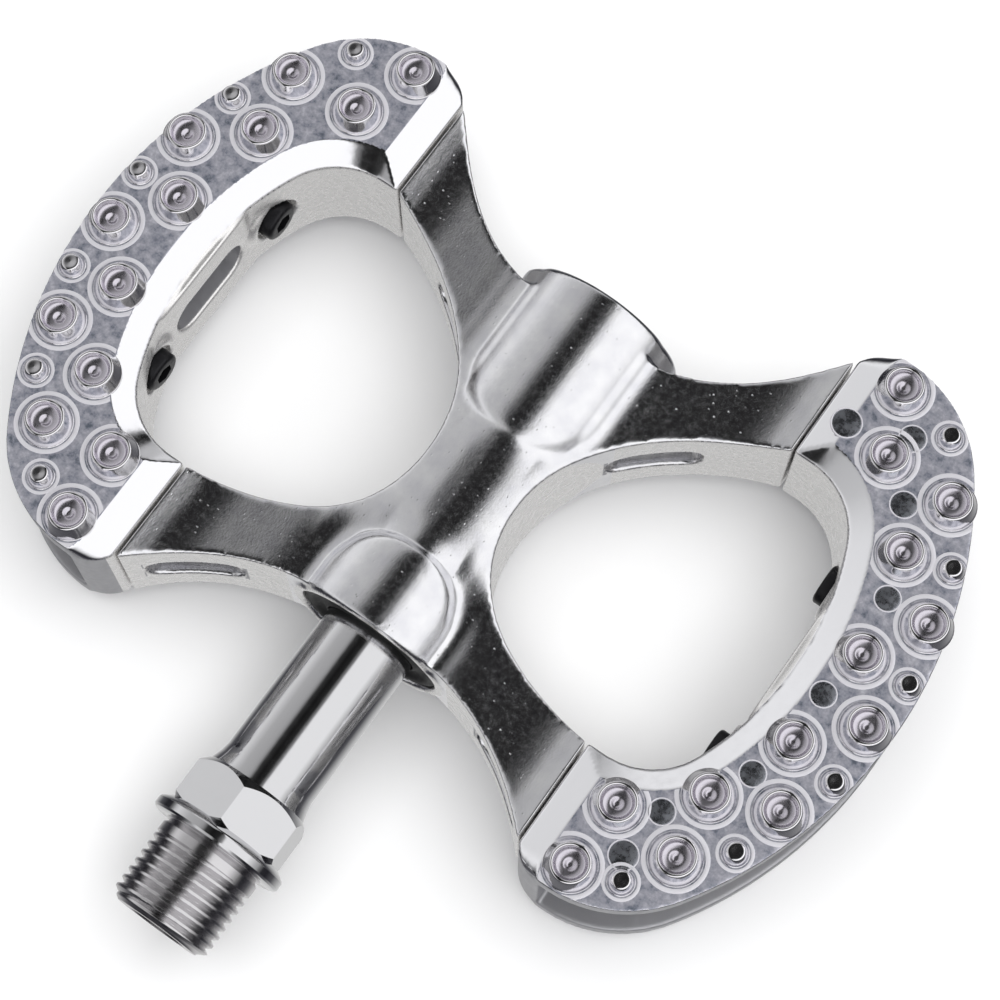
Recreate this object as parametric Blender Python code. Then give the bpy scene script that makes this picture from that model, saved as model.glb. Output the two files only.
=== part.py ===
"""Double-sided platform pedal: forged X body, two studded crescent cages, axle on two sealed bearings.

Frame: +X is the riding direction, +Y points away from the crank along the axle, +Z is up.
The axle's axis is the line X = 0, Z = 0. The origin is the middle of the pedal's bounding box.
Lengths are metres, written as millimetres times MM.
"""

import math

import bmesh
import bpy
from mathutils import Matrix, Vector

MM = 0.001

# Clearances
GAP = 0.3 * MM          # between separate pieces that lie face to face
FIT = 0.15 * MM         # between a round piece and the bore or shaft it sits on

# Overall sizes of the platform
REACH = 61.5 * MM       # axle axis to the outermost point of a cage
HALF_WIDTH = 40.8 * MM  # half of a cage's length along the axle
PLATE_Z = 10.4 * MM     # axle axis to the studded face
ARM_Z = 8.2 * MM        # axle axis to the top of an arm at the joint plane

# Cage: a channel section that is open outwards
CAGE_LENGTH = 30.3 * MM     # joint plane to the outermost point
CAGE_CORNER = 18.0 * MM     # outline radius at each end of the outer arc
END_CORNER = 5.4 * MM       # small radius beside the joint plane
END_CORNER_SETBACK = 4.8 * MM   # joint plane to the middle of that radius
END_BAR = 3.8 * MM          # width of the sloping bar beside the joint plane
RAIL_WIDTH = 14.9 * MM      # the opening's far side to the outermost point
OPENING_HALF = 23.0 * MM    # half width of the opening at the joint plane
OPENING_CORNER = 10.5 * MM
OPENING_STRAIGHT = 2.3 * MM     # joint plane to where the opening's corner starts
BEVEL = 3.1 * MM            # width of the polished bevel round the opening
WEB = 3.0 * MM
FLANGE = 3.0 * MM
END_WALL = 4.8 * MM

# Web pad with two bolt seats and a window
PAD_HALF = 18.0 * MM
PAD_INSET = 1.2 * MM        # the pad's inner face, in from the far side of the opening
PAD_THICK = 3.4 * MM
PAD_FACE_HALF = 9.0 * MM    # half width of the pad's flat inner face
WINDOW_HALF = 7.0 * MM
WINDOW_RADIUS = 3.2 * MM

# Cap screws that hold a cage on the tongues of the arms
BOLT_Y = 13.1 * MM
BOLT_RADIUS = 1.5 * MM
BOLT_HEAD_RADIUS = 2.8 * MM
BOLT_HEAD_HEIGHT = 2.6 * MM
BOLT_EDGE = 0.35 * MM       # chamfer round the head
BOLT_KEY_RADIUS = 1.45 * MM
BOLT_KEY_DEPTH = 1.4 * MM
SEAT_DEPTH = 0.3 * MM       # the seat is cut this deep in the pad
TONGUE_THICK = 6.0 * MM
TONGUE_Z = 5.0 * MM
TONGUE_END = 8.0 * MM       # distance of the tongue's end from the middle of the cage

# Studs and pins
STUD_HEIGHT = 2.1 * MM
STUD_BASE = 3.3 * MM
STUD_RIM = 2.45 * MM
CUP_RADIUS = 2.0 * MM
CUP_DEPTH = 0.9 * MM
PIN_HEIGHT = 1.5 * MM
PIN_BASE = 1.7 * MM
PIN_TOP = 1.1 * MM
STUD_SINK = 0.5 * MM        # how far a stud's own solid reaches into the plate
# (millimetres in from the cage's outline, place along it: 0 is the middle and 1 the outer end)
OUTER_ROW = ((3.7, 0.968), (3.0, 0.605), (2.8, 0.266), (3.4, -0.052), (3.6, -0.373), (5.0, -0.688), (3.7, -0.968))
PIN_ROW = ((2.3, 0.782), (1.8, 0.423), (1.9, 0.101), (2.0, -0.212), (2.5, -0.519), (3.5, -0.829))
# (millimetres out from the plate's inner edge, place along it)
INNER_ROW = ((4.1, 0.799), (3.8, 0.477), (3.2, 0.124), (2.9, -0.237), (2.0, -0.564), (2.4, -0.866))

# Forged body
WAIST_HALF = 6.9 * MM
WAIST_Y = -3.8 * MM
TIP_STEP = 3.0 * MM         # from a cage's end corner in to the outer corner of the arm's tip
BARREL_WALL = 2.7 * MM      # metal outside the bearings
BARREL_EDGE = 0.5 * MM      # chamfer at both ends of the barrel
BARREL_INBOARD = -27.0 * MM
BARREL_OUTBOARD = 25.8 * MM
BARREL_INBOARD_FULL = 8.5 * MM      # length of the inboard barrel at its full radius
BARREL_OUTBOARD_FULL = 19.4 * MM
DOME_LENGTH = 8.5 * MM      # over which each dome would fall to the axle's axis
POCKET_LENGTH = 13.0 * MM
POCKET_RADIUS = 2.4 * MM
POCKET_DEPTH = 2.5 * MM
POCKET_STEP = 9             # a pocket's middle is this many twentieths along the arm's edge curve

# Handles of the curves along the arms' edges: how far each stands from its end point in X and in Y
OUTBOARD_TIP_IN = (-11.2 * MM, -4.5 * MM)
OUTBOARD_TIP_OUT = (-4.7 * MM, -5.3 * MM)
OUTBOARD_WAIST = 13.3 * MM
OUTBOARD_BARREL = (10.0 * MM, 2.0 * MM)
INBOARD_TIP_IN = (-17.7 * MM, 2.5 * MM)
INBOARD_TIP_OUT = (-4.2 * MM, 4.3 * MM)
INBOARD_WAIST = 9.7 * MM
INBOARD_BARREL = (10.0 * MM, -1.5 * MM)
# Half thickness of the body, in millimetres: (distance from the axle, half thickness) along the spine,
# then (distance in from the joint plane, drop below the arm's top at that plane) along the arm
SPINE = ((0.0, 10.8), (3.0, 10.6), (6.0, 9.9), (8.0, 9.2), (10.0, 8.5), (12.0, 8.0), (14.5, 7.6))
DIP = ((10.5, 1.1), (7.0, 1.25), (4.0, 1.1), (2.0, 0.7), (0.0, 0.0))
# Where the arms' outer edges meet the barrel: in from its side, and in from its two ends
ARM_SIDE = 2.0 * MM
ARM_INBOARD = 0.5 * MM
ARM_OUTBOARD = 3.3 * MM

# Bearings, seal and end cap
BEARING_RADIUS = 9.5 * MM
INBOARD_BORE = 5.0 * MM
INBOARD_WIDTH = 5.0 * MM
OUTBOARD_BORE = 4.0 * MM
OUTBOARD_WIDTH = 6.0 * MM
BALLS = 7
BALL_SHARE = 0.245          # radius of a ball, of the bearing's width
RACE_GAP = 0.7              # half the gap between the races, of a ball's radius
SHIELD_THICK = 0.4 * MM
SHIELD_INSET = 0.1 * MM
RETAINER_HALF = 0.4 * MM    # half the retainer's wall
SEAL_RECESS = 0.5 * MM
SEAL_WIDTH = 2.3 * MM
SEAL_STEP = 0.7 * MM        # how much larger in radius the seal is than the bearings
CAP_THICK = 2.2 * MM
CAP_CLEAR = 1.7 * MM        # axle's end to the cap
AXLE_TUNNEL = 5.2 * MM      # radius of the bore between the bearings

# Axle
SHANK_RADIUS = 6.45 * MM
AXLE_WAIST = 4.4 * MM
STUB_RADIUS = 3.4 * MM
FLANGE_RADIUS = 9.4 * MM
FLANGE_FACE = -59.4 * MM    # the face that seats on the crank
FLANGE_EDGE = 1.6 * MM
HEX_FLATS = 15.0 * MM
HEX_SETBACK = 2.4 * MM      # crank seat to the hexagon
HEX_LENGTH = 6.2 * MM
HEX_CHAMFER = 0.5 * MM
HEX_CONE = 3.0 * MM         # length of the cone between the hexagon and the shank
THREAD_RADIUS = 7.14 * MM
THREAD_PITCH = 1.27 * MM
THREAD_DEPTH = 0.7 * MM
THREAD_TURNS = 8
RELIEF = 0.9 * MM           # plain collar between the flange and the thread
THREAD_LEAD = 0.6           # plain end of the thread, in pitches
END_CHAMFER = 0.5 * MM
NUT_FLATS = 11.0 * MM
NUT_HEIGHT = 4.0 * MM
NUT_CHAMFER = 0.6 * MM
NUT_PROUD = 0.8 * MM        # how far the axle's end stands out of the nut
WASHER_RADIUS = 6.4 * MM
WASHER_THICK = 1.0 * MM

ROUND = 32                  # sides of a large round piece
RACE_SIDES = 24             # sides of a bearing's rings
SMALL = 12                  # sides of a small round piece
STUD_SIDES = 8
ARM_STEPS = (8, 10, 10, 8)  # straight steps in each of an arm's edge curves

# Places that follow from the sizes above
JOINT_X = REACH - CAGE_LENGTH
OPENING_REACH = REACH - RAIL_WIDTH
PAD_X = OPENING_REACH - PAD_INSET
SEAT_X = PAD_X + SEAT_DEPTH
BOLT_END = OPENING_REACH + WEB + TONGUE_THICK
PAD_BACK = PAD_X + PAD_THICK
CHANNEL_Z = PLATE_Z - FLANGE
MARGIN = 1 * MM             # how far a cutting tool reaches past the surface it cuts
INBOARD_SEAL = BARREL_INBOARD + SEAL_RECESS
INBOARD_Y = INBOARD_SEAL + SEAL_WIDTH + GAP
THREAD_START = FLANGE_FACE - RELIEF
COLLAR_RADIUS = THREAD_RADIUS + FIT
AXLE_INBOARD = THREAD_START - (THREAD_TURNS + THREAD_LEAD) * THREAD_PITCH
AXLE_OUTBOARD = BARREL_OUTBOARD - CAP_THICK - CAP_CLEAR
NUT_Y = AXLE_OUTBOARD - NUT_PROUD - NUT_HEIGHT
WASHER_Y = NUT_Y - GAP - WASHER_THICK
OUTBOARD_Y = WASHER_Y - GAP - OUTBOARD_WIDTH
HEX_START = FLANGE_FACE + HEX_SETBACK
HEX_END = HEX_START + HEX_LENGTH
BARREL_RADIUS = BEARING_RADIUS + BARREL_WALL
SEAL_RADIUS = BEARING_RADIUS + SEAL_STEP
TIP_OUTER = HALF_WIDTH - TIP_STEP
MIDDLE_Y = (AXLE_INBOARD + HALF_WIDTH) / 2
TO_ORIGIN = Vector((0, -MIDDLE_Y, 0))


def material(name, colour, roughness, metallic):
    made = bpy.data.materials.new(name)
    made.use_nodes = True
    shader = made.node_tree.nodes["Principled BSDF"]
    shader.inputs["Base Color"].default_value = (*colour, 1)
    shader.inputs["Roughness"].default_value = roughness
    shader.inputs["Metallic"].default_value = metallic
    return made


def mesh_from(build):
    """A mesh made by build(bm), with its faces pointing out."""
    bm = bmesh.new()
    build(bm)
    bmesh.ops.recalc_face_normals(bm, faces=bm.faces)
    mesh = bpy.data.meshes.new("mesh")
    bm.to_mesh(mesh)
    bm.free()
    return mesh


def node(name, mesh, finish, turn=None):
    """The named sub-part, with its origin on the axle's axis."""
    mesh = mesh.copy()
    mesh.name = name
    mesh.materials.clear()
    mesh.materials.append(finish)
    mesh.shade_smooth()
    mesh.set_sharp_from_angle(angle=math.radians(35))
    thing = bpy.data.objects.new(name, mesh)
    bpy.context.collection.objects.link(thing)
    thing.matrix_world = Matrix.Translation(TO_ORIGIN) @ (turn or Matrix())
    return thing


def combine(mesh, operation, tool):
    """The mesh united with, or cut by, the tool."""
    things = [bpy.data.objects.new("solid", each) for each in (mesh, tool)]
    for thing in things:
        bpy.context.collection.objects.link(thing)
    boolean = things[0].modifiers.new("combine", "BOOLEAN")
    boolean.operation = operation
    boolean.solver = "EXACT"
    boolean.object = things[1]
    bpy.context.view_layer.update()
    evaluated = things[0].evaluated_get(bpy.context.evaluated_depsgraph_get())
    result = bpy.data.meshes.new_from_object(evaluated)
    for thing in things:
        bpy.data.objects.remove(thing)
    return result


def stack(bm, rings):
    """A closed solid through rings of (points, z), each with the same number of points."""
    levels = [[bm.verts.new((x, y, z)) for x, y in points] for points, z in rings]
    for low, high in zip(levels, levels[1:]):
        for i in range(len(low)):
            j = (i + 1) % len(low)
            bm.faces.new((low[i], low[j], high[j], high[i]))
    bm.faces.new(levels[0])
    bm.faces.new(levels[-1])


def prism(points, half_height):
    return mesh_from(lambda bm: stack(bm, [(points, -half_height), (points, half_height)]))


def lathe(bm, profile, sides, place=None, ring=False):
    """Turns (distance along the axis, radius) pairs round +Z, then moves them by place.

    A plain profile starts and ends at radius 0. A ring profile is a closed loop.
    """
    place = place or Matrix()
    rows = []
    for along, radius in profile:
        count = sides if radius > 0 else 1
        row = []
        for k in range(count):
            angle = math.tau * k / sides
            row.append(bm.verts.new(place @ Vector((radius * math.cos(angle), radius * math.sin(angle), along))))
        rows.append(row)
    pairs = list(zip(rows, rows[1:]))
    if ring:
        pairs.append((rows[-1], rows[0]))
    for low, high in pairs:
        for k in range(sides):
            n = (k + 1) % sides
            corners = [low[k % len(low)], low[n % len(low)], high[n % len(high)], high[k % len(high)]]
            unique = list(dict.fromkeys(corners))
            bm.faces.new(unique)


# Turns +Z onto +Y, so that a profile's distance is the world's Y.
ALONG_Y = Matrix.Rotation(math.radians(-90), 4, "X")
# Turns +Z onto +X.
ALONG_X = Matrix.Rotation(math.radians(90), 4, "Y")


def turned(profile, sides=ROUND, place=ALONG_Y, ring=False):
    return mesh_from(lambda bm: lathe(bm, profile, sides, place, ring))


def band(start, end, inner, outer):
    """The closed profile of a plain ring."""
    return [(start, inner), (end, inner), (end, outer), (start, outer)]


def arc(centre, radius, start, end, steps):
    """Points on an arc, with angles in radians."""
    points = []
    for k in range(steps + 1):
        angle = start + (end - start) * k / steps
        points.append((centre[0] + radius * math.cos(angle), centre[1] + radius * math.sin(angle)))
    return points


def bezier(a, b, c, d, steps):
    points = []
    for k in range(steps + 1):
        t = k / steps
        u = 1 - t
        weights = (u ** 3, 3 * u * u * t, 3 * u * t * t, t ** 3)
        points.append(tuple(sum(w * p[i] for w, p in zip(weights, (a, b, c, d))) for i in (0, 1)))
    return points


def mirrored(points):
    """The same points on the other side of Y = 0, in the opposite order."""
    return [(x, -y) for x, y in reversed(points)]


class Crescent:
    """A line Y = half_width that rounds a corner into a shallow arc, which crosses Y = 0 at reach."""

    def __init__(self, reach, half_width, corner, corner_x):
        span = reach - corner_x
        rise = half_width - corner
        self.radius = (span ** 2 + rise ** 2 - corner ** 2) / (2 * (span - corner))
        self.centre = (reach - self.radius, 0.0)
        self.corner = corner
        self.corner_centre = (corner_x, rise)
        self.meet = math.atan2(rise, corner_x - self.centre[0])

    def half(self, offset=0.0, steps=7):
        """Points from the straight line to Y = 0, moved outwards by offset."""
        corner = arc(self.corner_centre, self.corner + offset, math.pi / 2, self.meet, steps)
        main = arc(self.centre, self.radius + offset, self.meet, 0.0, steps)
        return corner + main[1:]

    def point(self, place, offset):
        """The point at this share of the way from Y = 0 to the straight line, moved outwards by offset."""
        long_arc = (self.radius + offset) * self.meet
        corner_arc = (self.corner + offset) * (math.pi / 2 - self.meet)
        walk = abs(place) * (long_arc + corner_arc)
        if walk <= long_arc:
            centre, radius, turn = self.centre, self.radius + offset, walk / (self.radius + offset)
        else:
            centre, radius = self.corner_centre, self.corner + offset
            turn = self.meet + (walk - long_arc) / radius
        return centre[0] + radius * math.cos(turn), math.copysign(centre[1] + radius * math.sin(turn), place)

    def x_at(self, y, offset=0.0):
        """Where the outline, moved outwards by offset, has this Y."""
        y = abs(y)
        if y > (self.radius + offset) * math.sin(self.meet):
            reach = self.corner + offset
            return self.corner_centre[0] + math.sqrt(reach ** 2 - (y - self.corner_centre[1]) ** 2)
        return self.centre[0] + math.sqrt((self.radius + offset) ** 2 - y ** 2)


OUTER = Crescent(REACH, HALF_WIDTH, CAGE_CORNER, JOINT_X + END_CORNER)
OPENING = Crescent(OPENING_REACH, OPENING_HALF, OPENING_CORNER, JOINT_X + OPENING_STRAIGHT)


def cage_ring(bevel, end_x):
    """The cage's outline, with its opening moved outwards by bevel and its ends cut at end_x."""
    centre = (JOINT_X + END_CORNER_SETBACK, HALF_WIDTH - END_CORNER)
    turn = math.acos((JOINT_X - centre[0]) / END_CORNER)
    end = []
    for x, y in arc(centre, END_CORNER, turn, math.pi / 2, 5):
        share = (x - JOINT_X) / (centre[0] - JOINT_X)
        end.append((end_x + share * (centre[0] - end_x), y))
    outer = end + OUTER.half()
    inner = [(end_x, OPENING_HALF + bevel)] + OPENING.half(bevel)
    lower = [(x, -y) for x, y in inner]
    return outer + mirrored(outer)[1:] + lower + inner[::-1][1:]


def raised(places, profile):
    """The same turned shape on both faces of a cage, at each of the places."""
    def build(bm):
        for side in (1, -1):
            flip = Matrix.Rotation(math.pi if side < 0 else 0, 4, "X")
            for x, y in places:
                lathe(bm, profile, STUD_SIDES, Matrix.Translation((x, y, side * PLATE_Z)) @ flip)

    return mesh_from(build)


def with_studs(body):
    """The cage with its two rows of cupped studs and its row of plain pins."""
    stud = [(-STUD_SINK, 0), (-STUD_SINK, STUD_BASE), (0, STUD_BASE), (STUD_HEIGHT, STUD_RIM)]
    stud += [(STUD_HEIGHT, CUP_RADIUS), (STUD_HEIGHT - CUP_DEPTH, 0)]
    pin = [(-STUD_SINK, 0), (-STUD_SINK, PIN_BASE), (0, PIN_BASE), (PIN_HEIGHT, PIN_TOP), (PIN_HEIGHT, 0)]
    rows = (
        ([OUTER.point(place, -inset * MM) for inset, place in OUTER_ROW], stud),
        ([OPENING.point(place, BEVEL + inset * MM) for inset, place in INNER_ROW], stud),
        ([OUTER.point(place, -inset * MM) for inset, place in PIN_ROW], pin),
    )
    for places, profile in rows:
        body = combine(body, "UNION", raised(places, profile))
    return body


def box(bm, low, high):
    """An axis-aligned block between two corners."""
    size = Vector(high) - Vector(low)
    centre = (Vector(high) + Vector(low)) / 2
    bmesh.ops.create_cube(bm, size=1, matrix=Matrix.Translation(centre) @ Matrix.Diagonal((*size, 1)))


def pad_line():
    """The outer face of the web and its pad, from one end of the cage to the other."""
    wall = [point for point in OPENING.half(WEB) if point[1] > PAD_HALF]
    return wall + [(OPENING.x_at(PAD_HALF, WEB), PAD_HALF), (PAD_BACK, PAD_HALF)]


def cage_mesh():
    low = cage_ring(0.0, JOINT_X)
    high = cage_ring(BEVEL, JOINT_X + END_BAR)
    rings = [(high, -PLATE_Z), (low, -ARM_Z), (low, ARM_Z), (high, PLATE_Z)]
    body = mesh_from(lambda bm: stack(bm, rings))

    pad = [(PAD_X, -PAD_FACE_HALF), (PAD_BACK, -PAD_FACE_HALF), (PAD_BACK, PAD_FACE_HALF), (PAD_X, PAD_FACE_HALF)]
    body = combine(body, "UNION", prism(pad, ARM_Z - GAP))

    start = JOINT_X + END_WALL
    beyond = REACH + MARGIN
    wide = HALF_WIDTH + MARGIN
    inner = [(start, OPENING_HALF + WEB)] + pad_line()
    channel = inner + mirrored(inner) + [(start, -wide), (beyond, -wide), (beyond, wide), (start, wide)]
    body = combine(body, "DIFFERENCE", prism(channel, CHANNEL_Z))

    return combine(with_studs(body), "DIFFERENCE", mesh_from(cage_cuts))


def cage_cuts(bm):
    """Sockets for the tongues, the window, and the bolts' seats and holes."""
    inner = OPENING_HALF + WEB
    outer = inner + GAP + TONGUE_THICK + GAP
    top = TONGUE_Z + GAP
    for side in (1, -1):
        ends = sorted((side * inner, side * outer))
        box(bm, (JOINT_X - MARGIN, ends[0], -top), (JOINT_X + END_WALL + MARGIN, ends[1], top))
    back = PAD_BACK + MARGIN
    front = SEAT_X - BOLT_HEAD_HEIGHT - MARGIN
    seat = BOLT_HEAD_RADIUS + 2 * GAP
    hole = BOLT_RADIUS + GAP
    profile = [(front, 0), (front, seat), (SEAT_X, seat), (SEAT_X, hole), (back, hole), (back, 0)]
    for side in (1, -1):
        lathe(bm, profile, SMALL * 2, Matrix.Translation((0, side * BOLT_Y, 0)) @ ALONG_X)
    window = arc((0, WINDOW_HALF - WINDOW_RADIUS), WINDOW_RADIUS, 0, math.pi, 8)
    window += [(-x, -y) for x, y in window]
    rings = [(window, PAD_X - MARGIN), (window, PAD_BACK + MARGIN)]
    first = len(bm.verts)
    stack(bm, rings)
    bm.verts.ensure_lookup_table()
    for vert in bm.verts[first:]:
        x, y, z = vert.co
        vert.co = (z, y, x)


def tongue_outline():
    """The bar that reaches from an arm's tip along the back of the cage's web."""
    near = WEB + GAP
    far = near + TONGUE_THICK
    root = JOINT_X - 2 * MM
    step = PAD_HALF + GAP
    inner = [(root, OPENING_HALF + near)]
    inner += [point for point in OPENING.half(near) if point[1] > step]
    inner += [(OPENING.x_at(step, near), step), (PAD_BACK + GAP, step), (PAD_BACK + GAP, TONGUE_END)]
    outer = [(root, OPENING_HALF + far)]
    outer += [point for point in OPENING.half(far) if point[1] > TONGUE_END]
    outer += [(OPENING.x_at(TONGUE_END, far), TONGUE_END)]
    return inner + outer[::-1]


def from_point(point, handle):
    return point[0] + handle[0], point[1] + handle[1]


def arm_edges():
    """Curves along the edges of the arms at +X: outboard outer, outboard inner, inboard inner, inboard outer."""
    tip = JOINT_X - GAP
    side = BARREL_RADIUS - ARM_SIDE
    waist = (WAIST_HALF, WAIST_Y)
    inner = [(tip, OPENING_HALF), (tip, -OPENING_HALF)]
    outer = [(tip, TIP_OUTER), (tip, -TIP_OUTER)]
    barrel = [(side, BARREL_OUTBOARD - ARM_OUTBOARD), (side, BARREL_INBOARD + ARM_INBOARD)]
    return (
        (barrel[0], from_point(barrel[0], OUTBOARD_BARREL), from_point(outer[0], OUTBOARD_TIP_OUT), outer[0]),
        (inner[0], from_point(inner[0], OUTBOARD_TIP_IN), (WAIST_HALF, WAIST_Y + OUTBOARD_WAIST), waist),
        (waist, (WAIST_HALF, WAIST_Y - INBOARD_WAIST), from_point(inner[1], INBOARD_TIP_IN), inner[1]),
        (outer[1], from_point(outer[1], INBOARD_TIP_OUT), from_point(barrel[1], INBOARD_BARREL), barrel[1]),
    )


def edge_points(*curves):
    """Points along some of the arm's edge curves, one after another."""
    points = []
    for curve in curves:
        steps = bezier(*arm_edges()[curve], ARM_STEPS[curve])
        points += steps[1:] if points and points[-1] == steps[0] else steps
    return points


def body_outline():
    """The body seen from above, with the two openings still filled."""
    right = edge_points(0, 3)
    return right + [(-x, y) for x, y in right[::-1]]


def opening_outline():
    """The opening between the arms at +X, out past the joint plane."""
    beyond = JOINT_X + MARGIN
    return [(beyond, OPENING_HALF)] + edge_points(1, 2) + [(beyond, -OPENING_HALF)]


def arm_section():
    """The body seen along the axle: a thick spine, arms that dip, and tips as thick as the cages' ends."""
    spine = [(x * MM, z * MM) for x, z in SPINE if x * MM < JOINT_X - DIP[0][0] * MM]
    dip = [(JOINT_X - x * MM, ARM_Z - z * MM) for x, z in DIP]
    half = spine + dip + [(JOINT_X + MARGIN, ARM_Z)]
    top = [(-x, z) for x, z in half[:0:-1]] + half
    return top + [(x, -z) for x, z in top[::-1]]


def barrel_profile():
    """Outside of the barrel: a dome at the crank side, one at the outer side and a slim middle."""
    core = WAIST_HALF - GAP
    last = math.acos(core / BARREL_RADIUS)
    dome = [(DOME_LENGTH * math.sin(last * k / 6), BARREL_RADIUS * math.cos(last * k / 6)) for k in range(7)]
    inboard = BARREL_INBOARD + BARREL_INBOARD_FULL
    outboard = BARREL_OUTBOARD - BARREL_OUTBOARD_FULL
    neck = BARREL_RADIUS - BARREL_EDGE
    profile = [(BARREL_INBOARD, 0), (BARREL_INBOARD, neck), (BARREL_INBOARD + BARREL_EDGE, BARREL_RADIUS)]
    profile += [(inboard + along, radius) for along, radius in dome]
    profile += [(outboard - along, radius) for along, radius in dome[::-1]]
    return profile + [(BARREL_OUTBOARD - BARREL_EDGE, BARREL_RADIUS), (BARREL_OUTBOARD, neck), (BARREL_OUTBOARD, 0)]


def bore_profile():
    """Inside of the barrel, from the seal's recess to the end cap's."""
    seal = SEAL_RADIUS + FIT
    seat = BEARING_RADIUS + FIT
    seal_floor = INBOARD_Y - GAP / 2
    inboard_floor = INBOARD_Y + INBOARD_WIDTH + GAP
    outboard_floor = OUTBOARD_Y - GAP
    return [
        (BARREL_INBOARD - MARGIN, 0), (BARREL_INBOARD - MARGIN, seal), (seal_floor, seal), (seal_floor, seat),
        (inboard_floor, seat), (inboard_floor, AXLE_TUNNEL), (outboard_floor, AXLE_TUNNEL),
        (outboard_floor, seat), (BARREL_OUTBOARD + MARGIN, seat), (BARREL_OUTBOARD + MARGIN, 0)]


def add_pockets(bm):
    """Blind round-ended pockets in the outboard arms' inner walls and the inboard arms' outer walls."""
    middle = POCKET_LENGTH / 2 - POCKET_RADIUS
    outline = arc((middle, 0), POCKET_RADIUS, -math.pi / 2, math.pi / 2, 6)
    outline += arc((-middle, 0), POCKET_RADIUS, math.pi / 2, 3 * math.pi / 2, 6)
    edges = arm_edges()
    for a, b, c, d in (edges[1], edges[3]):
        before, spot, after = (Vector(point) for point in bezier(a, b, c, d, 20)[POCKET_STEP - 1:POCKET_STEP + 2])
        along = after - before
        angle = math.atan2(along.y, along.x)
        for side in (1, -1):
            place = Matrix.Diagonal((side, 1, 1, 1)) @ Matrix.Translation((spot.x, spot.y, 0))
            place = place @ Matrix.Rotation(angle, 4, "Z") @ Matrix.Rotation(math.pi / 2, 4, "X")
            first = len(bm.verts)
            stack(bm, [(outline, -POCKET_DEPTH), (outline, POCKET_DEPTH)])
            bm.verts.ensure_lookup_table()
            for vert in bm.verts[first:]:
                vert.co = place @ vert.co


def add_tongues(bm):
    outline = tongue_outline()
    for side_x in (1, -1):
        for side_y in (1, -1):
            points = [(side_x * x, side_y * y) for x, y in outline]
            stack(bm, [(points, -TONGUE_Z), (points, TONGUE_Z)])


def add_bolt_holes(bm):
    """The tapped holes in the tongues."""
    start = PAD_BACK - MARGIN
    end = BOLT_END + 2 * MARGIN
    radius = BOLT_RADIUS + FIT
    profile = [(start, 0), (start, radius), (end, radius), (end, 0)]
    for side_x in (1, -1):
        for side_y in (1, -1):
            place = Matrix.Translation((0, side_y * BOLT_Y, 0)) @ Matrix.Diagonal((side_x, 1, 1, 1)) @ ALONG_X
            lathe(bm, profile, SMALL, place)


def body_mesh():
    body = prism(body_outline(), max(z for _, z in arm_section()) + MARGIN)
    section = prism(arm_section(), HALF_WIDTH)
    section.transform(Matrix.Rotation(math.pi / 2, 4, "X"))
    body = combine(body, "INTERSECT", section)
    body = combine(body, "UNION", turned(barrel_profile()))
    opening = prism(opening_outline(), BARREL_RADIUS + MARGIN)
    for turn in (0, math.pi):
        cutter = opening.copy()
        cutter.transform(Matrix.Rotation(turn, 4, "Y"))
        body = combine(body, "DIFFERENCE", cutter)
    body = combine(body, "UNION", mesh_from(add_tongues))
    body = combine(body, "DIFFERENCE", turned(bore_profile()))
    body = combine(body, "DIFFERENCE", mesh_from(add_pockets))
    return combine(body, "DIFFERENCE", mesh_from(add_bolt_holes))


def thread_profile():
    """V-shaped ridges of the crank thread, from its free end to the collar at the flange."""
    root = THREAD_RADIUS - THREAD_DEPTH
    length = THREAD_START - AXLE_INBOARD
    lead = length - THREAD_TURNS * THREAD_PITCH
    points = [(AXLE_INBOARD, 0), (AXLE_INBOARD, root - END_CHAMFER), (AXLE_INBOARD + lead, root)]
    for k in range(THREAD_TURNS):
        start = AXLE_INBOARD + lead + k * THREAD_PITCH
        points += [(start + THREAD_PITCH / 2, THREAD_RADIUS), (start + THREAD_PITCH, root)]
    return points + [(THREAD_START, COLLAR_RADIUS), (FLANGE_FACE, COLLAR_RADIUS)]


def axle_profile():
    inboard_end = INBOARD_Y + INBOARD_WIDTH + GAP
    journal = INBOARD_BORE - FIT
    outboard = OUTBOARD_BORE - FIT
    cone = journal - AXLE_WAIST
    core = HEX_FLATS / 2 - GAP
    profile = thread_profile()
    profile += [
        (FLANGE_FACE, FLANGE_RADIUS), (FLANGE_FACE + FLANGE_EDGE, FLANGE_RADIUS),
        (HEX_START, core), (HEX_END, core), (HEX_END + HEX_CONE, SHANK_RADIUS),
        (INBOARD_Y - GAP, SHANK_RADIUS), (INBOARD_Y - GAP, journal), (inboard_end, journal),
        (inboard_end + cone, AXLE_WAIST), (OUTBOARD_Y - GAP, AXLE_WAIST), (OUTBOARD_Y - GAP, outboard),
        (WASHER_Y - GAP, outboard), (WASHER_Y - GAP, STUB_RADIUS), (AXLE_OUTBOARD, STUB_RADIUS),
        (AXLE_OUTBOARD, 0)]
    return profile


def hexagon(flats, start, end, chamfer, turn=0.0):
    """A hexagonal bar along Y, bevelled at both ends."""
    def points(across):
        corner = across / math.sqrt(3)
        turns = [math.radians(60 * k + turn) for k in range(6)]
        return [(corner * math.cos(angle), corner * math.sin(angle)) for angle in turns]

    small = flats - chamfer
    rings = [(points(small), start), (points(flats), start + chamfer)]
    rings += [(points(flats), end - chamfer), (points(small), end)]
    bar = mesh_from(lambda bm: stack(bm, rings))
    bar.transform(ALONG_Y)
    return bar


def axle_mesh():
    bar = hexagon(HEX_FLATS, HEX_START - HEX_CHAMFER, HEX_END, HEX_CHAMFER, 90)
    return combine(turned(axle_profile()), "UNION", bar)


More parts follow.
